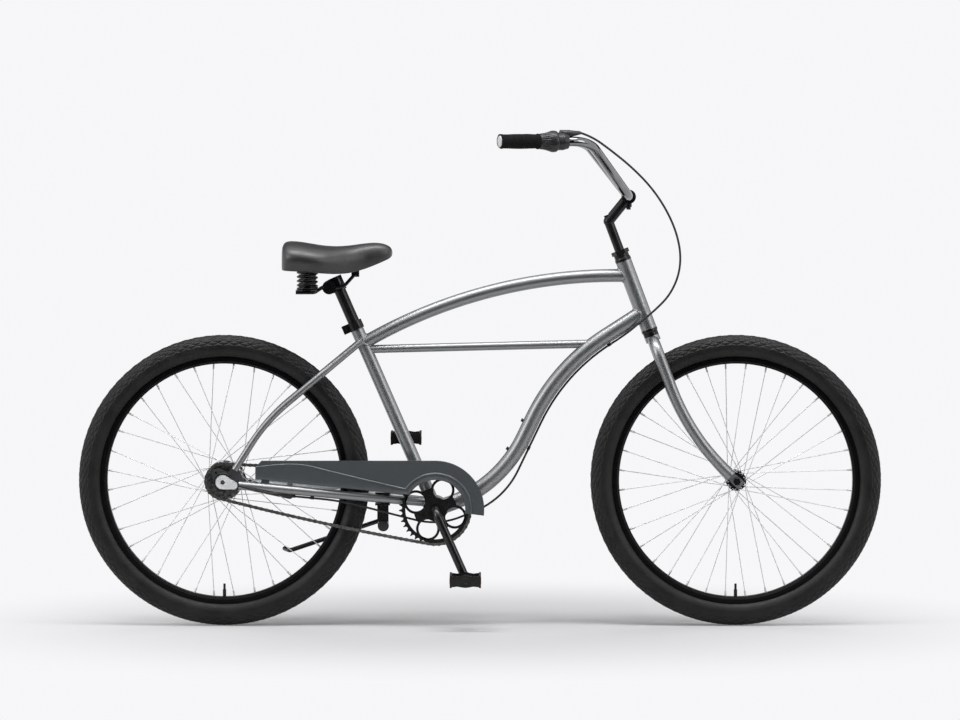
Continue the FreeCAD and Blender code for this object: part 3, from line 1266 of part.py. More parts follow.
def guard_bead():
    """A raised bead that follows the window and runs up to the top edge at the rear."""
    radius = num["guard_rib_radius"]
    outer_face = V(0, -num["guard_sheet"], 0)
    rise = guard_face + outer_face + V(-num["guard_rear_back"] * 0.75, 0, num["guard_radius"] * 0.93)
    knee = guard_face + outer_face + V(-num["guard_rear_back"] * 0.3, 0, radius * 0.72)
    over = [about_crank(radius, angle) + outer_face for angle in (145, 85, 20)]
    tail = route([rise, knee, over[0]], [num["guard_radius"]])
    return (sweep("guard_tail_bead", tail, size.guard_rib),
            sweep("guard_arc_bead", Part.Wire([arc_by(*over)]), size.guard_rib))


strap_top = num["guard_radius"] - num["guard_lip"] - num["strap_thickness"]
strap_x = strap_top * seat_up.x / seat_up.z - num["strap_width"] / 2
front_strap = cut("guard_front_strap", block("front_strap_bar", size.strap_width, size.guard_line,
                                             size.strap_thickness, guard_face + V(strap_x, 0, strap_top)), seat_bar)
rear_tab_x = -num["guard_rear_back"] + num["guard_bevel"]
rear_tab = cut("guard_rear_tab", block("rear_tab_bar", size.strap_width, size.strap_thickness * 2,
                                       size.guard_rear_low * 0.55,
                                       guard_face + V(rear_tab_x, 0, num["guard_rear_low"] * 0.75)),
               stay_bars["right"])
node("chain_guard", group("guard_set", fuse("guard_form", guard_sheet(), guard_edge(), *guard_bead()),
                          front_strap, rear_tab))


# Seat post, collar, and a sprung saddle on a wire frame.
post_top = crank + seat_up * (num["seat_tube_length"] + num["post_exposed"])
collar_low = crank + seat_up * (num["seat_tube_length"] - num["collar_height"] * 0.9)
node("seat_post", ring("seat_post_tube", size.post_diameter / 2, size.post_diameter / 2 - size.tube_wall,
                       size.post_length, post_top, -seat_up))


def seat_collar():
    """A split collar round the seat tube's top, pinched at the back by one bolt."""
    outer = size.seat_tube_diameter / 2 + size.collar_wall
    hoop = rod("collar_hoop", outer, size.collar_height, collar_low, seat_up)
    ears = doc.addObject("Part::Box", "collar_ears")
    bind(ears, "Length", outer + size.collar_ear)
    bind(ears, "Width", size.collar_ear)
    bind(ears, "Height", size.collar_height)
    slit = doc.addObject("Part::Box", "collar_slit")
    bind(slit, "Length", outer + size.collar_ear)
    bind(slit, "Width", size.collar_wall)
    bind(slit, "Height", size.collar_height)
    turn = FreeCAD.Rotation(V(-seat_up.z, 0, seat_up.x), -Y_AXIS, seat_up, "ZXY")
    for piece, width in ((ears, num["collar_ear"]), (slit, num["collar_wall"])):
        piece.Placement = FreeCAD.Placement(collar_low + Y_AXIS * (width / 2), turn)
    bore = rod("collar_bore", size.seat_tube_diameter / 2, size.collar_height, collar_low, seat_up)
    rear = V(-seat_up.z, 0, seat_up.x)
    pin = collar_low + seat_up * (num["collar_height"] / 2) + rear * (float(outer) + num["collar_ear"] * 0.55)
    hole = rod("collar_hole", size.collar_bolt / 2, size.collar_ear,
               pin - Y_AXIS * (num["collar_ear"] / 2), Y_AXIS)
    ring_form = cut("collar_cut", fuse("collar_form", hoop, ears), bore, slit, hole)
    shank = rod("collar_bolt_shank", size.collar_bolt / 2, size.collar_ear,
                pin - Y_AXIS * (num["collar_ear"] / 2), Y_AXIS)
    head = rod("collar_bolt_head", size.collar_bolt * 0.9, size.collar_bolt * 0.8,
               pin - Y_AXIS * (num["collar_ear"] / 2), -Y_AXIS)
    return group("collar_set", ring_form, fuse("collar_bolt_form", shank, head))


node("seat_collar", seat_collar())

boss = post_top - V(num["boss_back"], 0, num["boss_drop"])
saddle_pan_low = post_top.z + num["saddle_low"]
rear_x = boss.x - num["spring_back"] + num["rail_diameter"]
seat_low = saddle_pan_low - num["spring_height"] - num["spring_seat_height"]
nose_pin = V(boss.x + num["rail_nose_ahead"], 0, saddle_pan_low - num["nose_pin_drop"])


def rail_path(sign):
    """One wire of the saddle frame: under the spring, in to the clamp, and up to the nose."""
    under = seat_low - num["rail_diameter"] / 2
    half = num["rail_gap"] / 2
    points = [V(rear_x - num["spring_seat"] / 2, sign * num["spring_out"], under),
              V(rear_x + num["rail_turn_ahead"], sign * num["spring_out"], under),
              V(boss.x - num["boss_diameter"] / 2, sign * half, boss.z),
              V(boss.x + num["boss_diameter"], sign * half, boss.z),
              V(nose_pin.x, sign * num["rail_nose_out"], nose_pin.z)]
    return route(points, [num["rail_diameter"] * 1.5, num["rail_diameter"] * 2, num["rail_diameter"] * 3])


def spring_path(base, top):
    """A coil between two seats: straight ends square to the seats, and turns built of tangent arcs."""
    radius = (num["spring_diameter"] - num["spring_wire"]) / 2
    wire, bend, turns = num["spring_wire"], num["spring_bend"], num["spring_turns"]
    low = base.z + wire + bend
    pitch = (top - base.z - 2 * (wire + bend)) / turns
    lead = math.atan(pitch / (2 * math.pi * radius))

    def at(turn):
        angle = 2 * math.pi * turn
        point = V(base.x + radius * math.cos(angle), base.y + radius * math.sin(angle), low + pitch * turn)
        tangent = V(-math.sin(angle) * math.cos(lead), math.cos(angle) * math.cos(lead), math.sin(lead))
        return point, tangent

    def arc_from(start, tangent, end):
        chord = end - start
        along = chord * (1 / chord.Length)
        lean = math.acos(max(-1.0, min(1.0, tangent.dot(along))))
        aside = (tangent - along * tangent.dot(along)).normalize()
        return arc_by(start, (start + end) * 0.5 + aside * (chord.Length / 2 * math.tan(lean / 2)), end)

    edges = []
    steps = int(turns * 4)
    for i in range(steps):
        here, leaving = at(i / 4)
        there, coming = at((i + 1) / 4)
        gap = there - here
        both = leaving + coming
        spread = 2 * (1 - leaving.dot(coming))
        reach = (-gap.dot(both) + math.sqrt(gap.dot(both) ** 2 + spread * gap.dot(gap))) / spread
        joint = (here + leaving * reach + there - coming * reach) * 0.5
        meeting = (there - coming * reach - here - leaving * reach).normalize()
        edges.append(arc_from(here, leaving, joint))
        edges.append(arc_from(joint, meeting, there))
    first, out = at(0)
    last, into = at(steps / 4)
    half_turn = (math.pi / 2 - lead) / 2
    leg = bend * math.tan(half_turn)
    low_corner = first - out * leg
    high_corner = last + into * leg
    low_start = low_corner - Z_AXIS * leg
    high_end = high_corner + Z_AXIS * leg
    opening = [straight(V(low_start.x, low_start.y, base.z), low_start), arc_from(low_start, Z_AXIS, first)]
    closing = [arc_from(last, into, high_end), straight(high_end, V(high_end.x, high_end.y, top))]
    return Part.Wire(opening + edges + closing)


def least_gap(path, wire):
    """The smallest clear distance between turns of a coil, measured on points along it."""
    points = path.discretize(Distance=wire / 4)
    skip = int(math.pi * 3)
    nearest = min((points[i] - points[j]).Length for i in range(len(points))
                  for j in range(i + skip * 2, len(points)))
    return nearest - wire


def wire_coil(name, path, diameter):
    """One unbroken wire along a coil's path."""
    edge = path.OrderedEdges[0]
    section = Part.Wire([Part.Circle(edge.valueAt(edge.FirstParameter), edge.tangentAt(edge.FirstParameter),
                                     diameter / 2).toShape()])
    return feature(name, path.makePipeShell([section], True, False))


rails = []
springs = []
for name, sign in SIDES:
    foot = V(rear_x, sign * num["spring_out"], seat_low)
    cup = rod(f"{name}_spring_seat", size.spring_seat / 2, size.spring_seat_height, foot, Z_AXIS)
    rails.append(sweep(f"{name}_rail_bar", rail_path(sign), size.rail_diameter / 2))
    rails.append(cup)
    coil = spring_path(foot + Z_AXIS * num["spring_seat_height"], saddle_pan_low)
    print(f"{name} saddle spring: least gap to itself {least_gap(coil, num['spring_wire']):.2f} mm")
    springs.append(wire_coil(f"{name}_spring", coil, num["spring_wire"]))
node("saddle_springs", group("spring_pair", *springs))

boss_rod = rod("clamp_boss", size.boss_diameter / 2, size.boss_width,
               boss - Y_AXIS * (num["boss_width"] / 2), Y_AXIS)
sleeve = rod("clamp_sleeve_rod", size.post_diameter / 2 + size.collar_wall, size.clamp_sleeve,
             post_top, -seat_up)
post_bore = rod("clamp_post_bore", size.post_diameter / 2, size.clamp_sleeve, post_top, -seat_up)
bolt_place = boss - Z_AXIS * ((num["rail_diameter"] + num["clamp_bolt"]) / 2 + num["running_gap"])
bolt_end = bolt_place - Y_AXIS * (num["clamp_bolt_length"] / 2)
clamp_bore = rod("clamp_bolt_bore", size.clamp_bolt / 2, size.clamp_bolt_length, bolt_end, Y_AXIS)
clamp_body = cut("clamp_body", fuse("clamp_form", boss_rod, sleeve), post_bore, clamp_bore, rails[0], rails[2])
clamp_parts = [clamp_body, rod("clamp_bolt_rod", size.clamp_bolt / 2, size.clamp_bolt_length, bolt_end, Y_AXIS)]
for name, sign in SIDES:
    clamp_parts.append(nut(f"{name}_clamp_nut", size.clamp_bolt * 1.6, size.clamp_bolt / 2, size.clamp_bolt * 0.8,
                           bolt_place + Y_AXIS * (sign * num["boss_width"] / 2), Y_AXIS * sign))
node("saddle_clamp", group("clamp_set", *clamp_parts))

# The nose pin carries the saddle top, which rocks on the two springs.
pin_length = size.rail_nose_out * 2 + size.rail_diameter
nose_rod = rod("nose_pin_rod", size.nose_pin / 2, pin_length,
               nose_pin - Y_AXIS * (float(pin_length) / 2), Y_AXIS)
node("saddle_rails", group("rail_set", cut("right_rail", rails[0], nose_rod), rails[1],
                           cut("left_rail", rails[2], nose_rod), rails[3], nose_rod))

# Saddle outline: share of the length from the rear, of the half width, and of the height at top and base.
SADDLE_STATIONS = ((0, 0.8, 0.8, 0), (0.06, 0.95, 1, 0), (0.22, 1, 0.95, 0), (0.42, 0.8, 0.83, 0),
                   (0.58, 0.52, 0.83, 0), (0.75, 0.33, 0.92, 0.1), (0.9, 0.25, 0.93, 0.3),
                   (1, 0.15, 0.72, 0.5))
# A cushion section: its base and shoulders as shares of the half width, its widest and shoulder heights.
BASE_SHARE = 0.86
SHOULDER_SHARE = 0.72
WIDEST_HEIGHT = 0.45
SHOULDER_HEIGHT = 0.9
PAN_SHARE = 0.8
PAN_TIP = (0.68, 0.4)
saddle_rear = rear_x - num["saddle_overhang"]
pan_top = saddle_pan_low + num["pan_thickness"]


def cushion_section(share, wide, tall, low):
    """One cross-section: flat base, sides drawn in below, and a crowned top."""
    x = saddle_rear + share * num["saddle_length"]
    half = wide * num["saddle_width"] / 2
    foot = pan_top + low * num["saddle_rise"]
    high = (tall - low) * num["saddle_rise"]
    base = half * BASE_SHARE
    shoulder = half * SHOULDER_SHARE
    shoulder_high = high * SHOULDER_HEIGHT
    widest_high = high * WIDEST_HEIGHT

    def at(y, z):
        return V(x, y, foot + z)

    return Part.Wire([straight(at(-base, 0), at(base, 0)),
                      arc_by(at(base, 0), at(half, widest_high), at(shoulder, shoulder_high)),
                      arc_by(at(shoulder, shoulder_high), at(0, high), at(-shoulder, shoulder_high)),
                      arc_by(at(-shoulder, shoulder_high), at(-half, widest_high), at(-base, 0))])


def saddle_pan():
    """A stiff plate under the cushion with a lug for the nose pin."""
    edge = []
    for share, wide in [row[:2] for row in SADDLE_STATIONS[1:5]] + [PAN_TIP]:
        edge.append(V(saddle_rear + share * num["saddle_length"], wide * num["saddle_width"] / 2 * PAN_SHARE,
                      saddle_pan_low))
    corners = edge + [V(p.x, -p.y, p.z) for p in reversed(edge)]
    plate = slab("pan_plate", Part.makePolygon(corners + [corners[0]]), size.pan_thickness, Z_AXIS)
    lug_low = nose_pin.z - num["nose_pin"]
    lug = block("nose_lug", size.nose_lug_length, size.nose_lug_width, saddle_pan_low - lug_low,
                V(nose_pin.x - num["nose_lug_length"] / 2, -num["nose_lug_width"] / 2, lug_low))
    bore = rod("nose_bore", size.nose_pin / 2 + size.seat_gap, pin_length,
               nose_pin - Y_AXIS * (float(pin_length) / 2), Y_AXIS)
    return cut("pan_cut", fuse("pan_form", plate, lug), bore)


pan = saddle_pan()
node("saddle_pan", pan)
cushion_sections = [cushion_section(*row) for row in SADDLE_STATIONS]
cushion_form = feature("cushion_form", Part.makeLoft(cushion_sections, True, False))
node("saddle_cushion", cut("cushion_seated", cushion_form, pan))


# Kickstand: a bracket clamped under the chainstays and a leg that swings down to the left.
STAND_FOLDED = V(-0.945, 0.06, -0.32)
STAND_DOWN = V(0.1, 0.25, -0.963)
stand_fold = V(STAND_FOLDED).normalize()
stand_axis = STAND_DOWN.cross(STAND_FOLDED).normalize()
stand_pivot = crank + V(-num["stand_back"], num["stand_out"], -num["stand_drop"])


def stand_bracket():
    """A top plate under the stays, a hanging block with the pivot pin, and the clamp bolt."""
    span, width, plate = num["stand_plate_span"], num["stand_plate_width"], num["stand_plate"]
    stay_low = (crank.z + num["chainstay_root_rise"] - num["chainstay_diameter"] / 2
                + (num["chainstay_bend_rise"] - num["chainstay_root_rise"])
                * (num["stand_back"] - width / 2) / num["chainstay_bend_back"])
    low = stay_low - plate
    top = block("stand_plate", size.stand_plate_width, size.stand_plate_span, size.stand_plate,
                V(stand_pivot.x - width / 2, -span / 2, low))
    neck_height = low - stand_pivot.z + plate / 2
    neck = block("stand_neck", size.stand_eye, size.stand_eye, neck_height,
                 V(stand_pivot.x - num["stand_eye"] / 2, num["stand_out"] - num["stand_eye"] * 1.5, stand_pivot.z))
    boss_length = size.stand_eye * 1.6
    pivot_boss = rod("stand_boss", size.stand_eye / 2, boss_length, stand_pivot - stand_axis * num["running_gap"],
                     -stand_axis)
    pin = rod("stand_pin", size.stand_pin / 2, size.stand_eye_width + size.running_gap * 3,
              stand_pivot - stand_axis * num["running_gap"] * 2, stand_axis)
    head = rod("stand_pin_head", size.stand_pin * 0.9, size.stand_rod / 3,
               stand_pivot + stand_axis * (num["stand_eye_width"] + num["running_gap"]), stand_axis)
    body = fuse("stand_bracket_form", top, neck, pivot_boss, pin, head)
    bolt_low = V(stand_pivot.x, 0, low - num["bolt_head"])
    bolt = fuse("stand_bolt", rod("stand_bolt_head", size.bolt_diameter * 0.8, size.bolt_head, bolt_low, Z_AXIS),
                rod("stand_bolt_shank", size.bolt_diameter / 2, num["bolt_head"] + plate + num["chainstay_diameter"],
                    bolt_low, Z_AXIS))
    cap_low = stay_low + num["chainstay_diameter"] + num["stand_plate"]
    cap = block("stand_cap", size.stand_plate_width, size.stand_plate_span, size.stand_plate,
                V(stand_pivot.x - width / 2, -span / 2, cap_low - num["stand_plate"] / 2))
    bars = (stay_bars["right"], stay_bars["left"])
    return group("stand_bracket_set", cut("stand_bracket_cut", body, bolt, *bars), bolt,
                 cut("stand_cap_cut", cap, *bars))


def stand_leg():
    """The leg: an eye on the pivot pin, a long rod and a foot bent outwards."""
    middle = stand_pivot + stand_axis * (num["stand_eye_width"] / 2)
    eye = rod("stand_eye_rod", size.stand_eye / 2, size.stand_eye_width, stand_pivot, stand_axis)
    knee = middle + stand_fold * num["stand_length"]
    foot = knee + (stand_fold * 0.5 + stand_axis).normalize() * (num["stand_rod"] * 3)
    path = route([middle, knee, foot], [num["stand_rod"]])
    bore = rod("stand_eye_bore", size.stand_pin / 2 + size.running_gap, size.stand_eye_width,
               stand_pivot, stand_axis)
    bar = sweep("stand_rod_bar", path, size.stand_rod / 2)
    return cut("stand_leg_cut", fuse("stand_leg_form", eye, bar), bore)


node("kickstand_bracket", stand_bracket())
node("kickstand_leg", stand_leg())


# Shift cable: a loop from the shifter to the down tube, then clipped along the frame to the rear hub.
ARC_SHARE = 0.45  # the share of a run that the arc at either end may take


def soft_radii(points):
    """The largest arc radius that the two runs at each corner allow."""
    radii = []
    for i in range(1, len(points) - 1):
        before = points[i - 1] - points[i]
        after = points[i + 1] - points[i]
        half_turn = (math.pi - before.getAngle(after)) / 2
        radii.append(ARC_SHARE * min(before.Length, after.Length) / math.tan(half_turn))
    return radii


def cable(name, points, radii):
    """A cable along its route; its volume is compared with its section times its length."""
    path = route(points, radii)
    edge = path.OrderedEdges[0]
    section = Part.Circle(edge.valueAt(edge.FirstParameter), edge.tangentAt(edge.FirstParameter),
                          num["cable_diameter"] / 2)
    body = path.makePipeShell([Part.Wire([section.toShape()])], True, False)
    expected = math.pi * (num["cable_diameter"] / 2) ** 2 * path.Length
    print(f"{name}: {path.Length:.0f} mm long, radii {', '.join(f'{r:.0f}' for r in radii)} mm, "
          f"volume {body.Volume / expected:.4f} of section times length")
    return path, feature(name, body)


def below(run):
    """The direction square to a frame run, on the side away from the rider."""
    return V(-run.z, 0, run.x)


stand_off = num["down_tube_diameter"] / 2 + num["cable_stand_off"] + num["cable_diameter"] / 2
middle_run = (down_lower - down_upper).normalize()
last_run = (crank - down_lower).normalize()


def mitred(corner, before, after):
    """The corner of the cable's route beside a corner of the tube."""
    both = (below(before) + below(after)).normalize()
    return corner + both * (stand_off / both.dot(below(before)))


clip_start = down_start + down_run * (num["crossbar_reach"] * 0.75) + below(down_run) * stand_off
barrel_tip = barrel_foot + right_in * num["barrel_length"]
loop_end = clip_start - down_run * num["running_gap"]
loop_landing = clip_start - down_run * (num["guide_length"] * 4.5)
loop_start = barrel_tip + right_in * num["cable_stand_off"]
# How far the loop hangs out from the straight line between its ends, at even steps along that line.
LOOP = (V(18, -5, 30), V(52, 2, 38), V(92, 17, 38), V(128, 29, 32), V(153, 36, 21), V(169, 40, 7),
        V(171, 41, -8), V(158, 40, -19), V(128, 30, -26), V(85, 15, -21), V(42, -4, -10))


def loop_points():
    """The corners of the free loop, from the shifter's barrel to the first clip."""
    step = (loop_landing - loop_start) / (len(LOOP) + 1)
    hanging = [loop_start + step * i + out for i, out in enumerate(LOOP, start=1)]
    return [loop_start, *hanging, loop_landing, loop_end]


upper_points = loop_points()
node("shift_cable_upper", cable("shift_cable_upper", upper_points, soft_radii(upper_points))[1])

right_stay = chainstay_path(-1).OrderedEdges[-1]
stay_stand_off = num["chainstay_diameter"] / 2 + num["cable_stand_off"] + num["cable_diameter"] / 2


def on_stay(share, lean):
    """A cable point beside the right chainstay's rear run; lean moves it from below to the outside."""
    middle = right_stay.valueAt(right_stay.FirstParameter
                                + share * (right_stay.LastParameter - right_stay.FirstParameter))
    reach = stay_stand_off + num["cable_stand_off"] * min(lean, 1)
    return middle + V(0, -lean, -1).normalize() * reach


under_shell = crank + V(8, -8, -num["shell_diameter"] / 2 - num["cable_diameter"] * 2.5)
under_stay = crank + V(-108, -28, -10)
selector_entry = selector_tip + V(num["selector_nose"] + num["cable_stand_off"] * 2,
                                  -num["selector_depth"] * 0.7, 0)
lower_points = [clip_start,
                mitred(down_upper, down_run, middle_run),
                mitred(down_lower, middle_run, last_run),
                under_shell, under_stay, on_stay(0.1, 0), on_stay(0.6, 0), on_stay(0.72, 0.6),
                on_stay(0.86, 2), selector_entry]
lower_radii = soft_radii(lower_points)
lower_radii[0] = down_radii[0] - stand_off
lower_radii[1] = min(down_radii[1] + stand_off, lower_radii[1])
lower_path, lower_body = cable("shift_cable_lower", lower_points, lower_radii)
node("shift_cable_lower", lower_body)


def place_on(edge, share):
    """A point and tangent at a share of an edge."""
    spot = edge.FirstParameter + share * (edge.LastParameter - edge.FirstParameter)
    return edge.valueAt(spot), edge.tangentAt(spot)


def fittings():
    """Cable clips on the tubes, the cable's adjuster, and two bottle bolts on the down tube."""
    pieces = []
    runs = lower_path.OrderedEdges
    clip_radius = size.cable_diameter / 2 + size.cable_stand_off - size.seat_gap
    bore = size.cable_diameter / 2 + size.seat_gap
    straight_runs = [edge for edge in runs if edge.Curve.TypeId == "Part::GeomLine"]
    for i, (edge, share) in enumerate(((straight_runs[0], 0.08), (straight_runs[1], 0.5),
                                       (straight_runs[-4], 0.2), (straight_runs[-4], 0.85))):
        point, tangent = place_on(edge, share)
        pieces.append(ring(f"cable_clip_{i}", clip_radius, bore, size.guide_length, point, tangent))
    down_edges = down_path.OrderedEdges
    for i, (edge, share) in enumerate(((down_edges[2], 0.3), (down_edges[3], 0.16))):
        point, tangent = place_on(edge, share)
        face = point - below(tangent) * (num["down_tube_diameter"] / 2)
        pieces.append(rod(f"bottle_bolt_{i}", size.bolt_diameter / 2, size.bolt_head, face, -below(tangent)))
    return group("fittings_set", *pieces)


node("frame_fittings", fittings())


# Check every object, then write each sub-part.
doc.recompute()
failed = [thing.Label for thing in doc.Objects if "Invalid" in thing.State or "Error" in thing.State]
for thing in nodes:
    if thing.Shape.isNull() or not thing.Shape.isValid() or not thing.Shape.Solids:
        failed.append(thing.Label)
if failed:
    raise RuntimeError(f"these objects failed: {', '.join(failed)}")
os.makedirs("parts", exist_ok=True)
for thing in nodes:
    thing.Shape.exportStep(f"parts/{thing.Label}.step")
print(f"{len(nodes)} sub-parts written")
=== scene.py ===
"""Looks of the cruiser bicycle: finishes for every CAD node, and new surfaces for tyres, saddle, grips,
shift cable, welds, chain ring, guard lip, gear selector, shifter and pedals, in a pale studio."""
import json
import math

import bmesh
import bpy
import numpy as np
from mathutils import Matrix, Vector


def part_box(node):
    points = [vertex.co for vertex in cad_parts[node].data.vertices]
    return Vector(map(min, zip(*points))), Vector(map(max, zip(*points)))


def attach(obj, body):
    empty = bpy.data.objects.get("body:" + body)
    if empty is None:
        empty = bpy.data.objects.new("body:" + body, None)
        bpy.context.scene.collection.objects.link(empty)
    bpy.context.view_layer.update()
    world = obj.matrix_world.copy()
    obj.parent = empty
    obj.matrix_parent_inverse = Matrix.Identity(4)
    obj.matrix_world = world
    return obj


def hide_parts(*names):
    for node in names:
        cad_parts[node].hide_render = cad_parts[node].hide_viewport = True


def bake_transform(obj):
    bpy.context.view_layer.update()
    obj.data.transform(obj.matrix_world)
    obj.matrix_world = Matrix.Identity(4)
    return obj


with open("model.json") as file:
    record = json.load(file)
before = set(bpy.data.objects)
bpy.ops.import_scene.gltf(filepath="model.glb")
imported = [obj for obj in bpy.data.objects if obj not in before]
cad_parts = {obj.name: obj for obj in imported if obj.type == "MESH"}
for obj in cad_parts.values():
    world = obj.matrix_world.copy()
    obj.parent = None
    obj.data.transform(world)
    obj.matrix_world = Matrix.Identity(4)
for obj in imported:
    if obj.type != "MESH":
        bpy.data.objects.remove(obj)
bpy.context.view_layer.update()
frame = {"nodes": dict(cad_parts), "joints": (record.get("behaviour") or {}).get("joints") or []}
joints = {joint["name"]: joint for joint in frame["joints"]}
MM = 0.001


# Geometry helpers: the points of every new piece are worked out with numpy, in metres.
def centre(node):
    """The middle of a CAD node's box."""
    low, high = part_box(node)
    return (np.array(low) + np.array(high)) / 2


def extent(node):
    """The size of a CAD node's box along X, Y and Z."""
    low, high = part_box(node)
    return np.array(high) - np.array(low)


def pivot(joint):
    """The point that a hinge turns about."""
    return np.array(joints[joint]["pos_m"], float)


def mesh_piece(name, points, faces, finish, body=None):
    """An object from points and faces, smooth shaded, its faces turned outwards."""
    mesh = bpy.data.meshes.new(name)
    mesh.from_pydata(np.asarray(points, float).reshape(-1, 3), [], faces)
    shell = bmesh.new()
    shell.from_mesh(mesh)
    bmesh.ops.remove_doubles(shell, verts=shell.verts, dist=1e-7)
    bmesh.ops.recalc_face_normals(shell, faces=shell.faces)
    shell.to_mesh(mesh)
    shell.free()
    mesh.polygons.foreach_set("use_smooth", np.ones(len(mesh.polygons), bool))
    mesh.materials.append(finish)
    piece = bpy.data.objects.new(name, mesh)
    bpy.context.collection.objects.link(piece)
    if body:
        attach(piece, body)
    return piece


def grid_faces(rows, columns, round_rows=False, round_columns=False):
    """The quads that join each grid point to the next row and column."""
    index = np.arange(rows * columns).reshape(rows, columns)
    if round_rows:
        index = np.vstack([index, index[:1]])
    if round_columns:
        index = np.hstack([index, index[:, :1]])
    corners = (index[:-1, :-1], index[1:, :-1], index[1:, 1:], index[:-1, 1:])
    return np.stack(corners, -1).reshape(-1, 4)


def grid_piece(name, points, finish, body=None, round_rows=False, round_columns=False):
    """A piece from a grid of points."""
    rows, columns = points.shape[:2]
    return mesh_piece(name, points, grid_faces(rows, columns, round_rows, round_columns), finish, body)


def square_to(axis):
    """Two unit directions square to an axis and to each other."""
    helper = np.array((0, 0, 1.0)) if abs(axis[2]) < 0.9 else np.array((1.0, 0, 0))
    first = np.cross(axis, helper)
    first /= np.linalg.norm(first)
    return first, np.cross(axis, first)


def turned(name, profile, base, axis, finish, body, sides=96):
    """A surface of revolution: each (radius, station) of the profile turned round the axis."""
    profile = np.array(profile, float)
    angle = np.linspace(0, 2 * math.pi, sides, endpoint=False)
    first, second = square_to(axis)
    spoke = np.cos(angle)[:, None] * first + np.sin(angle)[:, None] * second
    points = base + profile[None, :, 1, None] * axis + profile[None, :, 0, None] * spoke[:, None, :]
    return grid_piece(name, points, finish, body, round_rows=True)


def tube(name, path, radius, finish, body=None, sides=20, closed=False):
    """A round tube: a circle carried along the path, square to it, turned as little as possible."""
    path = np.asarray(path, float)
    ahead = np.roll(path, -1, 0) - np.roll(path, 1, 0)
    if not closed:
        ahead[0], ahead[-1] = path[1] - path[0], path[-1] - path[-2]
    ahead /= np.linalg.norm(ahead, axis=1)[:, None]
    side = np.empty_like(path)
    side[0] = square_to(ahead[0])[0]
    for i in range(1, len(path)):
        side[i] = side[i - 1] - ahead[i] * side[i - 1].dot(ahead[i])
        side[i] /= np.linalg.norm(side[i])
    up = np.cross(ahead, side)
    angle = np.linspace(0, 2 * math.pi, sides, endpoint=False)
    radius = np.broadcast_to(np.asarray(radius, float), len(path))
    ring = np.cos(angle)[None, :, None] * side[:, None] + np.sin(angle)[None, :, None] * up[:, None]
    points = path[:, None] + radius[:, None, None] * ring
    if not closed:
        ends = [np.repeat(end, sides, 1) for end in (path[:1, None], path[-1:, None])]
        points = np.concatenate([ends[0], points, ends[1]])
    return grid_piece(name, points, finish, body, round_rows=closed, round_columns=True)


# Finishes: constant values sit on the shader's own sockets, and noise on Object coordinates does the rest.
def new_finish(name, **sockets):
    """A new Principled finish; each keyword is one of its sockets, with _ for a space."""
    material = bpy.data.materials.new(name)
    material.use_nodes = True
    shader = material.node_tree.nodes["Principled BSDF"]
    for socket, value in sockets.items():
        shader.inputs[socket.replace("_", " ")].default_value = value
    return material


def add_node(material, kind, **settings):
    """A new node in a finish; each keyword is a property or, failing that, an input."""
    node = material.node_tree.nodes.new("ShaderNode" + kind)
    for key, value in settings.items():
        if key in node.bl_rna.properties:
            setattr(node, key, value)
        else:
            node.inputs[key.replace("_", " ")].default_value = value
    return node


def join(material, output, target):
    """Links two sockets of a finish."""
    material.node_tree.links.new(output, target)


def place(material, stretch):
    """Object coordinates, stretched along the three axes."""
    coordinates = add_node(material, "TexCoord")
    mapping = add_node(material, "Mapping", Scale=stretch)
    join(material, coordinates.outputs["Object"], mapping.inputs["Vector"])
    return mapping.outputs["Vector"]


def noise(material, scale, detail=3.0, stretch=(1, 1, 1)):
    """A noise pattern with about scale features to the metre."""
    texture = add_node(material, "TexNoise", Scale=scale, Detail=detail)
    join(material, place(material, stretch), texture.inputs["Vector"])
    return texture.outputs["Fac"]


def cells(material, scale, feature="F1"):
    """A pattern of rounded cells with about scale cells to the metre."""
    texture = add_node(material, "TexVoronoi", feature=feature, Scale=scale)
    join(material, place(material, (1, 1, 1)), texture.inputs["Vector"])
    return texture.outputs["Distance"]


def tint(material, pattern, dark, light, low=0.3, high=0.7):
    """The base colour runs from dark to light with the pattern."""
    ramp = add_node(material, "ValToRGB")
    for stop, position, colour in zip(ramp.color_ramp.elements, (low, high), (dark, light)):
        stop.position = position
        stop.color = (*colour, 1)
    join(material, pattern, ramp.inputs["Fac"])
    join(material, ramp.outputs["Color"], material.node_tree.nodes["Principled BSDF"].inputs["Base Color"])


def roughen(material, pattern, low, high):
    """The roughness runs from low to high with the pattern."""
    span = add_node(material, "MapRange")
    for name, value in (("From Min", 0.3), ("From Max", 0.7), ("To Min", low), ("To Max", high)):
        span.inputs[name].default_value = value
    join(material, pattern, span.inputs["Value"])
    join(material, span.outputs["Result"], material.node_tree.nodes["Principled BSDF"].inputs["Roughness"])


def emboss(material, pattern, depth, strength=1.0):
    """Raises the surface by the pattern; a second call lies on top of the first."""
    bump = add_node(material, "Bump", Distance=depth, Strength=strength)
    join(material, pattern, bump.inputs["Height"])
    normal = material.node_tree.nodes["Principled BSDF"].inputs["Normal"]
    if normal.links:
        join(material, normal.links[0].from_socket, bump.inputs["Normal"])
    join(material, bump.outputs["Normal"], normal)


def metallic_paint(name, dark, light, metallic, coat):
    """Gloss paint with fine metal flake, a clear coat and a faint orange peel."""
    paint = new_finish(name, Metallic=metallic, Coat_Weight=coat, Coat_Roughness=0.1)
    tint(paint, noise(paint, 2200, 2.0), dark, light)
    roughen(paint, noise(paint, 40), 0.38, 0.44)
    emboss(paint, noise(paint, 420), 0.000012)
    return paint


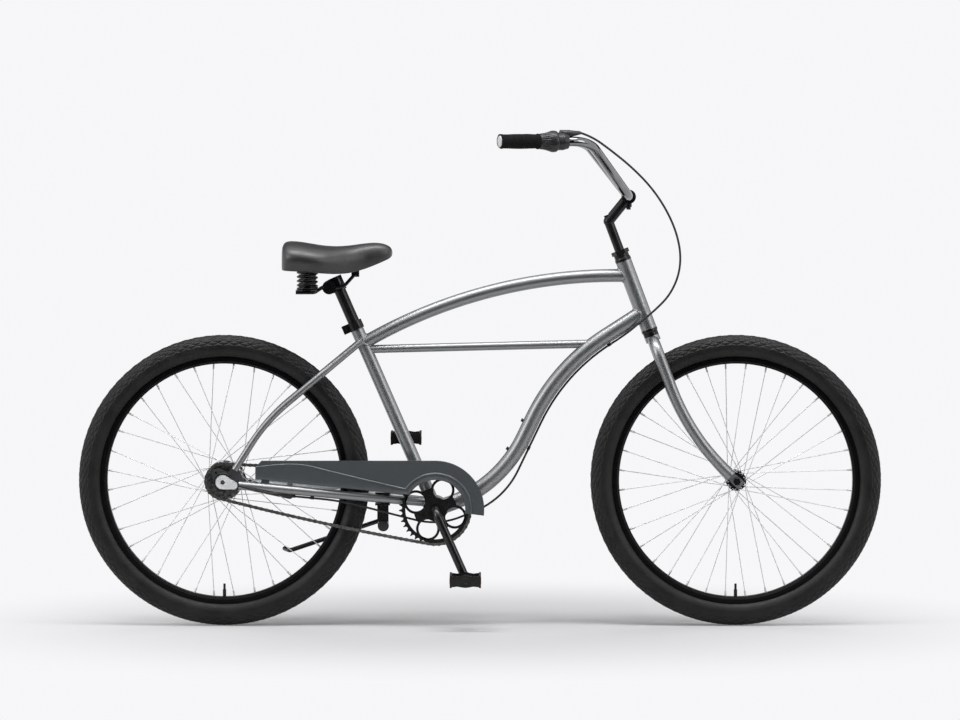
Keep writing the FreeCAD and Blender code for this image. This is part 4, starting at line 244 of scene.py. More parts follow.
def satin_black(name, shade, metallic, rough, gloss=0.5):
    """Black enamel or anodising with a soft sheen and faint handling marks."""
    black = new_finish(name, Metallic=metallic, Specular_IOR_Level=gloss)
    tint(black, noise(black, 60, 6.0), (shade * 0.7,) * 3, (shade * 1.4,) * 3)
    roughen(black, noise(black, 140, 5.0), rough * 0.85, rough * 1.15)
    emboss(black, noise(black, 900), 0.00002)
    return black


def turned_steel(name, dark, light, rough, stretch, metallic=1.0):
    """Bright steel with fine tool lines along one direction."""
    steel = new_finish(name, Metallic=metallic)
    lines = noise(steel, 6, 4.0, stretch)
    tint(steel, lines, dark, light)
    roughen(steel, lines, rough * 0.8, rough * 1.3)
    emboss(steel, lines, 0.00002)
    return steel


def oiled_steel(name):
    """Chain steel: oily and worn, darker and lighter in random patches."""
    steel = new_finish(name, Metallic=0.9)
    tint(steel, noise(steel, 130, 3.0), (0.13, 0.127, 0.121), (0.27, 0.264, 0.252))
    roughen(steel, noise(steel, 260), 0.26, 0.4)
    emboss(steel, noise(steel, 900), 0.00001)
    return steel


def tyre_rubber(name):
    """Black rubber: matt, slightly greyed in patches, with a fine moulded skin."""
    rubber = new_finish(name, Specular_IOR_Level=0.3)
    tint(rubber, noise(rubber, 26, 6.0), (0.006, 0.006, 0.0064), (0.014, 0.014, 0.0145))
    roughen(rubber, noise(rubber, 90, 5.0), 0.4, 0.55)
    emboss(rubber, noise(rubber, 1400), 0.00012)
    return rubber


def grip_foam(name):
    """Dense black foam: very matt, with tiny cells."""
    foam = new_finish(name, Roughness=0.85, Specular_IOR_Level=0.12)
    tint(foam, noise(foam, 300, 4.0), (0.006, 0.006, 0.006), (0.014, 0.014, 0.014))
    emboss(foam, cells(foam, 1300), 0.0003, 0.6)
    return foam


def saddle_vinyl(name):
    """Charcoal vinyl: pebbled grain, a low sheen and a slight polish in patches."""
    vinyl = new_finish(name, Specular_IOR_Level=0.85, Sheen_Weight=0.03)
    tint(vinyl, noise(vinyl, 18, 4.0), (0.01, 0.01, 0.011), (0.017, 0.017, 0.0182))
    roughen(vinyl, noise(vinyl, 30, 5.0), 0.38, 0.48)
    emboss(vinyl, cells(vinyl, 620), 0.00025, 0.5)
    emboss(vinyl, noise(vinyl, 160, 4.0), 0.0002, 0.5)
    return vinyl


def moulded_plastic(name, dark, light, rough):
    """Injection-moulded plastic with a spark-eroded grain."""
    plastic = new_finish(name, Specular_IOR_Level=0.4)
    tint(plastic, noise(plastic, 45, 4.0), dark, light)
    roughen(plastic, noise(plastic, 220, 4.0), rough * 0.85, rough * 1.15)
    emboss(plastic, noise(plastic, 1100), 0.00006)
    return plastic


def reflector_lens(name, dark, light):
    """Clear-coated coloured plastic over a grid of small corner prisms."""
    lens = new_finish(name, Roughness=0.12, Coat_Weight=1.0, Coat_Roughness=0.03)
    prisms = cells(lens, 420)
    tint(lens, prisms, dark, light, 0.1, 0.6)
    emboss(lens, prisms, 0.0002)
    return lens


PAINT = metallic_paint("silver_grey_paint", (0.28, 0.287, 0.293), (0.36, 0.367, 0.373), 0.94, 0.12)
GUARD = metallic_paint("slate_guard_paint", (0.066, 0.073, 0.08), (0.096, 0.105, 0.113), 0.35, 0.5)
PLATE = metallic_paint("dark_plate_paint", (0.06, 0.062, 0.066), (0.1, 0.104, 0.11), 0.6, 0.2)
ALLOY = satin_black("black_alloy", 0.012, 0.4, 0.28)
ENAMEL = satin_black("black_enamel", 0.006, 0.0, 0.25)
RIM = satin_black("black_rim", 0.002, 0.0, 0.4, 0.12)
SPROCKET = turned_steel("sprocket_steel", (0.1, 0.1, 0.1), (0.26, 0.26, 0.26), 0.3, (30, 30, 30))
SPOKE = turned_steel("spoke_wire", (0.7, 0.7, 0.71), (0.77, 0.77, 0.78), 0.3, (8, 8, 8), 0.6)
HUB = turned_steel("turned_hub", (0.5, 0.5, 0.51), (0.72, 0.72, 0.73), 0.24, (4, 700, 4))
# Chrome with its base colour set dark grey: a painted dark reflection, standing in for dark surroundings
# mirrored in the bar.
CHROME_PAINTED_DARK = turned_steel("chrome_painted_dark", (0.21, 0.213, 0.217), (0.27, 0.273, 0.278), 0.08, (6, 6, 6))
CHAIN = oiled_steel("oiled_chain")
TYRE = tyre_rubber("tyre_rubber")
FOAM = grip_foam("grip_foam")
VINYL = saddle_vinyl("saddle_vinyl")
BLACK_PLASTIC = moulded_plastic("black_plastic", (0.006, 0.006, 0.006), (0.013, 0.013, 0.013), 0.4)
GREY_PLASTIC = moulded_plastic("grey_plastic", (0.016, 0.0165, 0.0175), (0.028, 0.029, 0.0305), 0.32)
SILVER_PLASTIC = moulded_plastic("silver_plastic", (0.6, 0.61, 0.62), (0.72, 0.73, 0.74), 0.3)
SHEATH = moulded_plastic("cable_sheath", (0.016, 0.016, 0.016), (0.026, 0.026, 0.026), 0.4)
AMBER = reflector_lens("amber_reflector", (0.64, 0.15, 0.008), (0.82, 0.22, 0.012))

DRESSED = {
    PAINT: ("head_tube", "seat_tube", "bottom_bracket_shell", "top_tube", "down_tube", "crossbar",
            "right_chainstay", "left_chainstay", "right_seatstay", "left_seatstay", "fork_steerer",
            "fork_crown", "right_fork_leg", "left_fork_leg"),
    GUARD: ("chain_guard",),
    PLATE: ("right_dropout", "left_dropout", "coaster_brake_arm"),
    ALLOY: ("stem", "headset_cups", "headset_races", "seat_post", "seat_collar", "front_hub"),
    ENAMEL: ("chain_ring", "crank_arms", "bottom_bracket_cups", "kickstand_leg", "kickstand_bracket",
             "saddle_rails", "saddle_springs", "saddle_clamp", "stem_bolts", "frame_fittings", "front_axle"),
    RIM: ("front_rim", "rear_rim"),
    SPOKE: ("front_spokes", "rear_spokes", "pedal_spindles"),
    HUB: ("rear_hub", "rear_axle"),
    CHROME_PAINTED_DARK: ("handlebar",),
    CHAIN: ("chain",),
    SPROCKET: ("rear_sprocket",),
    TYRE: ("front_tyre", "rear_tyre", "front_inner_tube", "rear_inner_tube"),
    FOAM: ("right_grip", "left_grip"),
    VINYL: ("saddle_cushion",),
    BLACK_PLASTIC: ("right_pedal", "left_pedal", "saddle_pan"),
    GREY_PLASTIC: ("shifter_twist_grip", "shifter_housing"),
    SILVER_PLASTIC: ("gear_selector",),
    SHEATH: ("shift_cable_upper", "shift_cable_lower"),
}
for material, names in DRESSED.items():
    for name in names:
        mesh = frame["nodes"][name].data
        mesh.materials.clear()
        mesh.materials.append(material)


# Tyres: a torus whose section carries a diamond tread and plain ribbed walls.
DIAMONDS = 80  # diamonds round the wheel
STEPS = 10  # grid steps across one diamond
TREAD_ROWS = 30  # rows from the crown to each edge of the tread
TREAD_STEP = 1.32 * MM
WALL_ROWS = 18
WALL_END = math.radians(146)
GROOVE = 2.5 * MM
DOME = 1.5 * MM
WALL_SET_BACK = 0.55 * MM
WALL_RIBS = (math.radians(97), math.radians(104), math.radians(134))
RIB_WIDTH = math.radians(1.6)
FADE_ROWS = 4  # rows at each edge over which the tread runs out
SHOULDER_ROW = 12  # row from which the grooves have their full depth
CROWN_SHARE = 0.6  # depth of a groove on the crown, as a share of the full depth
TYRE_CLEARANCE = 0.05 * MM


def tread_depth(column, row):
    """How far the tread lies below its crown: grooves on two diagonals, a dome in each diamond between."""
    nearest = np.ones(np.broadcast(column, row).shape)
    for diagonal in (column + row, column - row):
        share = diagonal % STEPS
        nearest = np.minimum(nearest, np.minimum(share, STEPS - share) / (STEPS / 2))
    fade = np.clip((TREAD_ROWS + 1 - np.abs(row)) / FADE_ROWS, 0, 1)
    shoulder = np.clip(np.abs(row) / SHOULDER_ROW, 0, 1)
    deep = GROOVE * (CROWN_SHARE + (1 - CROWN_SHARE) * shoulder) * fade
    return np.where(nearest == 0, deep, DOME * fade * (1 - nearest) ** 1.6)


def tyre_piece(name, joint, node, body):
    """A closed torus round the axle; the section's radius is the CAD tyre's less the tread's depth."""
    hub = pivot(joint)
    section = extent(node)[1] / 2 - TYRE_CLEARANCE
    middle = extent(node)[2] / 2 - extent(node)[1] / 2
    tread = np.arange(-TREAD_ROWS, TREAD_ROWS + 1)
    tread_lean = tread * TREAD_STEP / section
    wall_lean = np.linspace(tread_lean[-1], WALL_END, WALL_ROWS + 1)[1:]
    ribs = sum(np.exp(-((wall_lean - rib) / RIB_WIDTH) ** 2) for rib in WALL_RIBS)
    wall_depth = WALL_SET_BACK * (1 - np.clip(ribs, 0, 1))
    columns = DIAMONDS * STEPS
    column = np.arange(columns)
    depth = np.concatenate([np.repeat(wall_depth[::-1, None], columns, 1),
                            tread_depth(column[None], tread[:, None]),
                            np.repeat(wall_depth[:, None], columns, 1)])
    lean = np.concatenate([-wall_lean[::-1], tread_lean, wall_lean])[:, None]
    turn = column[None] * 2 * math.pi / columns
    radius = section - depth
    out = middle + radius * np.cos(lean)
    points = np.stack([out * np.cos(turn), radius * np.sin(lean) + 0 * turn, out * np.sin(turn)], -1) + hub
    rows = len(lean)
    quads = grid_faces(rows, columns, True, True)
    place_column = np.tile(column, rows)
    place_row = np.repeat(np.arange(rows) - WALL_ROWS - TREAD_ROWS, columns)
    rising = (place_column + 1 + place_row) % STEPS == 0
    first = np.where(rising[:, None], quads[:, [0, 1, 3]], quads[:, [0, 1, 2]])
    second = np.where(rising[:, None], quads[:, [1, 2, 3]], quads[:, [0, 2, 3]])
    piece = mesh_piece(name, points, np.concatenate([first, second]), TYRE, body)
    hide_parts(node)


tyre_piece("front_tyre_tread", "front_wheel_spin", "front_tyre", "front_wheel")
tyre_piece("rear_tyre_tread", "rear_wheel_spin", "rear_tyre", "rear_wheel")


# Saddle: a taut cushion lofted through cross-sections, on two coil springs.
def eased(knots, values, at):
    """A smooth curve through the values: cubic pieces whose slopes come from the neighbours."""
    knots, values = np.asarray(knots, float), np.asarray(values, float)
    slopes = np.gradient(values, knots, axis=0)
    i = np.clip(np.searchsorted(knots, at) - 1, 0, len(knots) - 2)
    span = knots[i + 1] - knots[i]
    t = (at - knots[i]) / span
    ends = (values[i], values[i + 1], slopes[i], slopes[i + 1])
    if values.ndim > 1:
        t, span = t[:, None], span[:, None]
    near = (1 + 2 * t) * (1 - t) ** 2 * ends[0] + t * (1 - t) ** 2 * span * ends[2]
    far = t * t * (3 - 2 * t) * ends[1] + t * t * (t - 1) * span * ends[3]
    return near + far


# Each station: X, half width, top and foot heights in mm.
SADDLE_STATIONS = (
    (-457, 0, 868, 832), (-456.6, 50, 872, 828.5), (-455, 84, 880, 826), (-450, 103, 887.5, 824.5),
    (-438, 113, 890.5, 823.6), (-415, 118, 889, 822.5), (-390, 118.5, 885, 820.5), (-360, 108, 880.5, 818),
    (-330, 86, 879, 816.5), (-300, 62, 881, 818.5), (-270, 46, 885, 826), (-245, 38, 887, 835),
    (-225, 31.5, 885, 843.5), (-212, 24, 880, 849.5), (-205, 14, 873.5, 855), (-202.5, 0, 867, 861))
# The half section: share of the half width, and height between foot (0) and top (1).
SADDLE_SECTION = (
    (0, 1), (0.2, 0.995), (0.4, 0.98), (0.6, 0.94), (0.78, 0.865), (0.9, 0.75), (0.975, 0.6), (1, 0.45),
    (0.985, 0.3), (0.945, 0.15), (0.905, 0.05), (0.86, 0.0), (0.8, 0.02), (0.74, 0.1), (0.66, 0.13),
    (0.4, 0.14), (0, 0.14))
SADDLE_ROWS = 181
SECTION_POINTS = 81
SPRING_TURNS = 5.5
SPRING_FLAT = 0.75  # turns that lie flat at each end
SPRING_WIRE = 2.5 * MM  # radius of the wire
SPRING_RADIUS = 20.4 * MM
SPRING_OUT = 56 * MM


def saddle_cushion():
    """Sections eased from station to station, each the half section scaled to it, and its mirror."""
    stations = np.array(SADDLE_STATIONS)
    along = eased(np.arange(len(stations)), stations, np.linspace(0, len(stations) - 1, SADDLE_ROWS))
    half = np.array(SADDLE_SECTION)
    section = eased(np.arange(len(half)), half, np.linspace(0, len(half) - 1, SECTION_POINTS))
    section[0, 0] = section[-1, 0] = 0
    ring = np.concatenate([section, section[-2:0:-1] * (-1, 1)])
    along[[0, -1], 1] = 0
    x, wide, top, foot = (along[:, i, None] for i in range(4))
    points = np.stack([x + 0 * ring[None, :, 0], np.maximum(wide, 0) * ring[None, :, 0],
                       foot + (top - foot) * ring[None, :, 1]], -1) * MM
    piece = grid_piece("saddle_cover", points, VINYL, "saddle_top", round_columns=True)
    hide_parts("saddle_cushion")


def saddle_spring(name, middle, low, high):
    """A helix between the lower seat and the pan, with a flat turn at each end."""
    wire = SPRING_WIRE
    turn = np.linspace(0, SPRING_TURNS, 300)
    share = np.clip((turn - SPRING_FLAT) / (SPRING_TURNS - 2 * SPRING_FLAT), 0, 1)
    height = low + wire + (high - low - 2 * wire) * share
    path = np.stack([middle[0] + SPRING_RADIUS * np.cos(2 * math.pi * turn),
                     middle[1] + SPRING_RADIUS * np.sin(2 * math.pi * turn), height], -1)
    piece = tube(name, path, wire, ENAMEL, sides=14)
    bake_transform(piece)
    return piece


saddle_cushion()
spring_low, spring_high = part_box("saddle_springs")
spring_middle = centre("saddle_springs")
for side_name, side in (("right", -1), ("left", 1)):
    spring = saddle_spring(f"{side_name}_saddle_coil", (spring_middle[0], side * SPRING_OUT),
                           spring_low[2], spring_high[2])
    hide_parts("saddle_springs")


# Grips: turned foam with a bright cap, and the fluted twist grip of the shifter; radii and stations in mm.
BAR_END = np.array((45.41, 336, 1121.41)) * MM
GRIP_IN = np.array((0.947741, 0.319041, 0))
BAR_RADIUS = 11.15
GRIP_LENGTH = {"right": 92, "left": 132}
PALM_START = 9
PALM_RADIUS = 15.9
PALM_SWELL = 0.9
RIPPLE_DEPTH = 0.25
RIPPLE_PITCH = 3.2


def grip_profile(length):
    """Radius and station in mm: a rolled end ring, a slim waist, a full palm and an inner ring."""
    station = np.linspace(PALM_START, length - PALM_START, 40)
    share = (station - PALM_START) / (length - 2 * PALM_START)
    ripple = RIPPLE_DEPTH * np.cos(station * 2 * math.pi / RIPPLE_PITCH) * (share < 0.97)
    palm = PALM_RADIUS + PALM_SWELL * np.sin(math.pi * share) ** 2 + ripple
    first = [(BAR_RADIUS, 0), (15.9, 0), (16.5, 0.8), (16.7, 2.5), (16.6, 4.5), (16.2, 5.6), (15.7, 7)]
    last = [(15.7, length - 7), (16.8, length - 6), (17.6, length - 4.5), (17.8, length - 2.5),
            (17.4, length - 0.8), (16.6, length), (BAR_RADIUS, length)]
    return np.concatenate([first, np.stack([palm, station], -1), last]) * MM


def closed_profile(profile):
    """The profile joined back to its start, so the turned shell is closed."""
    return np.concatenate([profile, profile[:1]])


CAP_PROFILE = np.array(((0, -3), (8, -3), (11, -2.8), (12.6, -2.2), (13.2, -1.2), (13.2, -0.02),
                        (0, -0.02))) * MM
for side_name, side in (("right", -1), ("left", 1)):
    grip_base = BAR_END * (1, side, 1)
    grip_axis = GRIP_IN * (1, -side, 1)
    shell = closed_profile(grip_profile(GRIP_LENGTH[side_name]))
    foam = turned(f"{side_name}_foam_grip", shell, grip_base, grip_axis, FOAM, "steering")
    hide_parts(f"{side_name}_grip")
    cap = turned(f"{side_name}_bar_cap", CAP_PROFILE, grip_base, grip_axis, SILVER_PLASTIC, "steering", 48)


TWIST_GAP = 0.3
TWIST_SIDES = 264
FLUTES = 22
FLUTE_DEPTH = 0.9
FLUTE_SPAN = (2, 25)  # stations between which the flutes run
FLUTE_FADE = (5, 3)  # length over which they fade at each end
TWIST_PROFILE = (
    (11.6, 0), (16.6, 0.01), (17.4, 1.2), (17.9, 4), (18.4, 8), (19, 12), (19.8, 16), (20.9, 20), (22.2, 24),
    (23.3, 27), (24, 29), (24.4, 31), (24.5, 34), (24.2, 38), (23.4, 40.5), (22.6, 41.5), (21.6, 42),
    (11.6, 42))


def twist_grip(base, axis):
    """A turned barrel whose outside is cut by rounded flutes that fade at both ends."""
    outer, station = np.array(TWIST_PROFILE).T
    turn = np.arange(TWIST_SIDES) * 2 * math.pi / TWIST_SIDES
    inside = np.clip(np.minimum((station - FLUTE_SPAN[0]) / FLUTE_FADE[0],
                                (FLUTE_SPAN[1] - station) / FLUTE_FADE[1]), 0, 1)
    cut = FLUTE_DEPTH * np.clip(np.cos(turn * FLUTES), 0, 1)[:, None] ** 0.7 * inside[None]
    radius = (outer[None] - cut) * MM
    first, second = square_to(axis)
    ray = np.cos(turn)[:, None] * first + np.sin(turn)[:, None] * second
    points = base + station[None, :, None] * MM * axis + radius[..., None] * ray[:, None]
    points = np.concatenate([points, points[:, :1]], 1)
    piece = grid_piece("fluted_twist_grip", points, GREY_PLASTIC, "twist_shifter", round_rows=True)
    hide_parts("shifter_twist_grip")


twist_grip(BAR_END * (1, -1, 1) + GRIP_IN * (GRIP_LENGTH["right"] + TWIST_GAP) * MM, GRIP_IN)


# Shift cable: the free loop from the shifter to the down tube, along the route that the CAD cable follows.
LOOP_ROUTE = (
    (224.9, -275.6, 1141.4), (252, -258, 1133), (296, -228, 1102), (345, -190, 1063), (390, -155, 1018),
    (425, -125, 968), (450, -98, 915), (462, -74, 862), (458, -52, 812), (437, -39, 766), (404, -31, 732),
    (370, -27, 704), (337.7, 0, 675.3), (303.9, 0, 653.5))
CABLE = 5 * MM


def smooth_line(route):
    """Points along the smooth curve that has the route as its control points."""
    line = bpy.data.curves.new("cable_line", "CURVE")
    line.dimensions = "3D"
    line.resolution_u = 12
    spline = line.splines.new("NURBS")
    spline.points.add(len(route) - 1)
    spline.points.foreach_set("co", np.hstack([np.array(route) * MM, np.ones((len(route), 1))]).ravel())
    spline.order_u = 3
    spline.use_endpoint_u = True
    holder = bpy.data.objects.new("cable_line", line)
    mesh = bpy.data.meshes.new_from_object(holder)
    points = np.empty(len(mesh.vertices) * 3)
    mesh.vertices.foreach_get("co", points)
    bpy.data.objects.remove(holder)
    bpy.data.curves.remove(line)
    bpy.data.meshes.remove(mesh)
    return points.reshape(-1, 3)


cable_line = smooth_line(LOOP_ROUTE)
loop = tube("shift_cable_loop", cable_line, CABLE / 2, SHEATH, sides=14)
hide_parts("shift_cable_upper")
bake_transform(loop)


# Welds: a rippled bead along the line where one tube runs into another.
CRANK = np.array((-103.23, 0, 272.12)) * MM
HEAD_LOW = np.array((391, 0, 687.42)) * MM
HEAD_UP = np.array((-0.351842, 0, 0.93606))
SEAT_UP = np.array((-0.400829, 0, 0.916153))
ACROSS = np.array((0, 1.0, 0))
# A point, the axis and the radius of each tube that others run into.
HEAD_TUBE = (HEAD_LOW, HEAD_UP, 18.5 * MM)
SEAT_TUBE = (CRANK, SEAT_UP, 15.1 * MM)
SHELL = (CRANK, ACROSS, 28 * MM)
BEAD_PITCH = 2.6 * MM
BEAD_RIPPLE = 0.09


def weld(name, host, foot, along, radius, bead=1.9 * MM):
    """A bead on the curve where a tube leaves its host cylinder, found for each line along the tube."""
    host_point, host_axis, host_radius = host
    along = np.array(along, float) / np.linalg.norm(along)
    first, second = square_to(along)
    count = max(96, int(radius / MM * 16))
    turn = np.arange(count) * 2 * math.pi / count
    start = foot + radius * (np.cos(turn)[:, None] * first + np.sin(turn)[:, None] * second)
    gap = start - host_point
    gap = gap - (gap @ host_axis)[:, None] * host_axis
    way = along - along.dot(host_axis) * host_axis
    a, b, c = way.dot(way), gap @ way, (gap * gap).sum(1) - host_radius ** 2
    reach = (-b + np.sqrt(np.maximum(b * b - a * c, 0))) / a
    path = start + reach[:, None] * along
    ripples = round(2 * math.pi * radius / BEAD_PITCH)
    ripple = bead * (1 + BEAD_RIPPLE * np.cos(turn * ripples))
    piece = tube(name, path, ripple, PAINT, "frame", 10, closed=True)


weld("seat_tube_weld", SHELL, CRANK, SEAT_UP, SEAT_TUBE[2])
weld("top_tube_head_weld", HEAD_TUBE, np.array((344.73, 0, 810.51)) * MM, (-1, 0, 0.028), 15 * MM)
weld("top_tube_seat_weld", SEAT_TUBE, np.array((-270.4, 0, 654.2)) * MM, (0.865, 0, 0.502), 15 * MM)
weld("down_tube_head_weld", HEAD_TUBE, np.array((376.57, 0, 725.8)) * MM, (-0.8415, 0, -0.5402), 18 * MM)
weld("down_tube_shell_weld", SHELL, CRANK, (0.9659, 0, 0.2588), 18 * MM)
for side_name, side in (("right", -1), ("left", 1)):
    weld(f"{side_name}_chainstay_weld", SHELL, CRANK + np.array((0, side * 19, 13)) * MM,
         (-180, side * 26, 17), 10 * MM, 1.7 * MM)
    weld(f"{side_name}_seatstay_weld", SEAT_TUBE, np.array((-273.2, side * 9, 660.57)) * MM,
         (-94, side * 34, -78), 8 * MM, 1.6 * MM)


# Chain ring: the bands of its four round loops and of its rim, broader than the plate that carries them.
# Lengths are in mm, and a band is given by its inner and outer radius.
RING_LINE = -45.0
LOOP_BAND = (21.6, 25.5)
RIM_BAND = (69.0, 74.0)
BAND_HALF = 1.55  # half thickness of a band
BAND_EDGE = 0.9  # half thickness left at its edges
BAND_ROUND = 0.6
RING_LOOPS = ((-148.1, 289.16), (-120.28, 227.25), (-86.19, 316.99), (-58.36, 255.07))


def ring_band(name, middle, inner, outer):
    """A flat ring with rounded edges, turned round an axis across the bicycle."""
    flat = (inner + BAND_ROUND, outer - BAND_ROUND)
    profile = np.array(((inner, -BAND_EDGE), (flat[0], -BAND_HALF), (flat[1], -BAND_HALF),
                        (outer, -BAND_EDGE), (outer, BAND_EDGE), (flat[1], BAND_HALF),
                        (flat[0], BAND_HALF), (inner, BAND_EDGE), (inner, -BAND_EDGE))) * MM
    base = np.array((middle[0], RING_LINE, middle[1])) * MM
    piece = turned(name, profile, base, ACROSS, ENAMEL, "crankset", 128)
    piece.data.set_sharp_from_angle(angle=math.radians(35))


for i, loop_middle in enumerate(RING_LOOPS):
    ring_band(f"ring_loop_{i}", loop_middle, *LOOP_BAND)
ring_band("ring_inner_band", CRANK[[0, 2]] / MM, *RIM_BAND)


# Chain guard: the pressed lip along its lower edge and round the ring's window, proud of the flat sheet.
# Lengths are in mm from the crank and angles in degrees, and pairs are for the lower and the upper edge.
GUARD_FACE = -56.6
LIP_REACH = (69.0, 84.0)
LIP_TURN = (150, 145)
LIP_END = -7
LIP_NARROW = 15.0  # width that the lip's section is drawn for
LIP_LOW = ((-414, 71.4), (-59.8, 34.5))
LIP_HIGH = ((-414, 100), (-330, 106), (-305, 104.5), (-250, 92), (-160, 70), (-110, 58.5), (-68.8, 48.2))
# Across the lip: share of its width from the lower edge, and how far it stands out in mm.
LIP_SECTION = ((0, -0.2), (0, 2.6), (0.03, 3.6), (0.09, 4.2), (0.45, 2.6), (0.78, 0.9), (0.84, 1.1),
               (0.89, 2.2), (0.94, 2.9), (1.0, 2.5), (1.05, 1.2), (1.08, -0.2))


def guard_lip():
    """Two edge lines, each an eased tail and an arc about the crank, with the lip's section between them."""
    lines = []
    for reach, tail, start in zip(LIP_REACH, (LIP_LOW, LIP_HIGH), LIP_TURN):
        turn = np.radians(np.linspace(start, LIP_END, 120))
        arc = reach * np.stack([np.cos(turn), np.sin(turn)], -1)
        knots = np.array(tail, float)
        along = np.linspace(knots[0, 0], arc[0, 0], 100, endpoint=False)
        lines.append(np.concatenate([np.stack([along, eased(knots[:, 0], knots[:, 1], along)], -1), arc]))
    section = np.array(LIP_SECTION)
    width = np.linalg.norm(lines[1] - lines[0], axis=1)[:, None]
    share = np.where(section[None, :, 0] < 0.5, section[None, :, 0] * LIP_NARROW / width,
                     1 - (1 - section[None, :, 0]) * LIP_NARROW / width)
    flat = lines[0][:, None] + (lines[1] - lines[0])[:, None] * share[..., None]
    out = GUARD_FACE - section[None, :, 1] + 0 * width
    points = np.stack([flat[..., 0] + CRANK[0] / MM, out, flat[..., 1] + CRANK[2] / MM], -1) * MM
    ends = [np.repeat(points[i].mean(0)[None, None], len(section), 1) for i in (0, -1)]
    points = np.concatenate([ends[0], points, ends[1]])
    piece = grid_piece("guard_pressed_lip", points, GUARD, "frame", round_columns=True)
    piece.data.set_sharp_from_angle(angle=math.radians(50))


guard_lip()


# Gear selector: a dark seal round its bright cap.
hub_middle = pivot("rear_wheel_spin")
SEAL_PROFILE = np.array(((16.4, -66), (16.4, -69.4), (17.2, -70.4), (20.4, -70.4), (21.6, -69.2),
                         (21.6, -64.2), (16.4, -64.2), (16.4, -66))) * MM
seal = turned("selector_seal", SEAL_PROFILE, hub_middle * (1, 0, 1), ACROSS, BLACK_PLASTIC, "frame", 72)
seal.data.set_sharp_from_angle(angle=math.radians(40))


# Shifter: a tapered pod over the housing, which the cable leaves at its tip.
POD_LINE = (
    (176, -290, 1134), (180, -289.5, 1136.6), (187, -288, 1138.6), (196, -285, 1139.2), (206, -282, 1139.4),
    (215, -279, 1139.8), (222, -276.6, 1140.4), (227, -274.6, 1140.6))
POD_RADIUS = (1.5, 5.6, 7.4, 7.9, 7.2, 5.8, 4.4, 3.6)
pod_steps = np.arange(len(POD_LINE))
pod_at = np.linspace(0, len(POD_LINE) - 1, 50)
pod = tube("shifter_pod", eased(pod_steps, np.array(POD_LINE) * MM, pod_at),
           eased(pod_steps, np.array(POD_RADIUS) * MM, pod_at), GREY_PLASTIC, "steering", 32)


# Pedals: toothed cage plates, shaped end plates and a waisted barrel, with a faceted amber lens on each side.
# Lengths are in mm; stations run outwards from the crank.
CAGE_OUT = 33.4  # from the spindle to the middle of each cage plate
CAGE_HALF = 2.4
CAGE_LENGTH = 92
CAGE_CORE = 11.2
CAGE_TIP = 14.8
CAGE_TEETH = 9
BAR_OUT = 20.0  # from the spindle to the middle of each inner bar
BAR_SECTION = ((-2, -6), (2, -6), (2.6, -5), (2.6, 5), (2, 6), (-2, 6), (-2.6, 5), (-2.6, -5))
BAR_SPAN = (3, 89)
END_SPANS = ((0.6, 5), (87, 91.4))
END_HEIGHT = 12.6
END_DIP = 1.2
DIP_OUT = 19
DIP_WIDTH = 6
END_SWELL = 1.4
SWELL_WIDTH = 9
BARREL = (
    (0, 0.6), (10.4, 0.6), (10.6, 2), (10.6, 9), (9.2, 13), (8.7, 18), (8.6, 46), (8.7, 74), (9.2, 79),
    (10.6, 83), (10.6, 91), (10.2, 92), (8.4, 92), (8.4, 92.4), (7.9, 93), (5.2, 93), (4.6, 92.4),
    (2.8, 92.4), (0, 92.4))


def extruded(outline, low, high):
    """An outline carried from one station to another: points (across, up, station) and faces."""
    outline = np.array(outline, float)
    count = len(outline)
    points = np.concatenate([np.column_stack([outline, np.full(count, station)]) for station in (low, high)])
    near = np.arange(count)
    after = np.roll(near, -1)
    sides = [tuple(face) for face in np.stack([near, after, after + count, near + count], -1).tolist()]
    return points, [*sides, tuple(range(count - 1, -1, -1)), tuple(range(count, 2 * count))]


def toothed_outline(length, core, tip, teeth):
    """A long plate with the same row of blunt teeth along both edges."""
    pitch = length / teeth
    tooth = np.array(((0.08, core), (0.28, tip), (0.62, tip), (0.82, core)))
    row = np.concatenate([tooth * (pitch, 1) + (pitch * i, 0) for i in range(teeth)])
    return np.concatenate([row, row[::-1] * (1, -1)])


def end_outline(half, height, dip, swell):
    """A plate that dips at each side of the barrel and swells over it, each as a bell curve."""
    along = np.linspace(-half, half, 61)
    dips = dip * np.exp(-((np.abs(along) - DIP_OUT) / DIP_WIDTH) ** 2)
    edge = height - dips + swell * np.exp(-(along / SWELL_WIDTH) ** 2)
    return np.concatenate([np.stack([along, edge], -1), np.stack([along, -edge], -1)[::-1]])


def lathe(profile, sides=40):
    """A turned body: points (across, up, station) and faces, closed on its axis at both ends."""
    profile = np.array(profile, float)
    angle = np.arange(sides) * 2 * math.pi / sides
    points = np.stack([profile[:, 0] * np.cos(angle)[:, None], profile[:, 0] * np.sin(angle)[:, None],
                       profile[:, 1] + 0 * angle[:, None]], -1).reshape(-1, 3)
    return points, [tuple(face) for face in grid_faces(sides, len(profile), True).tolist()]


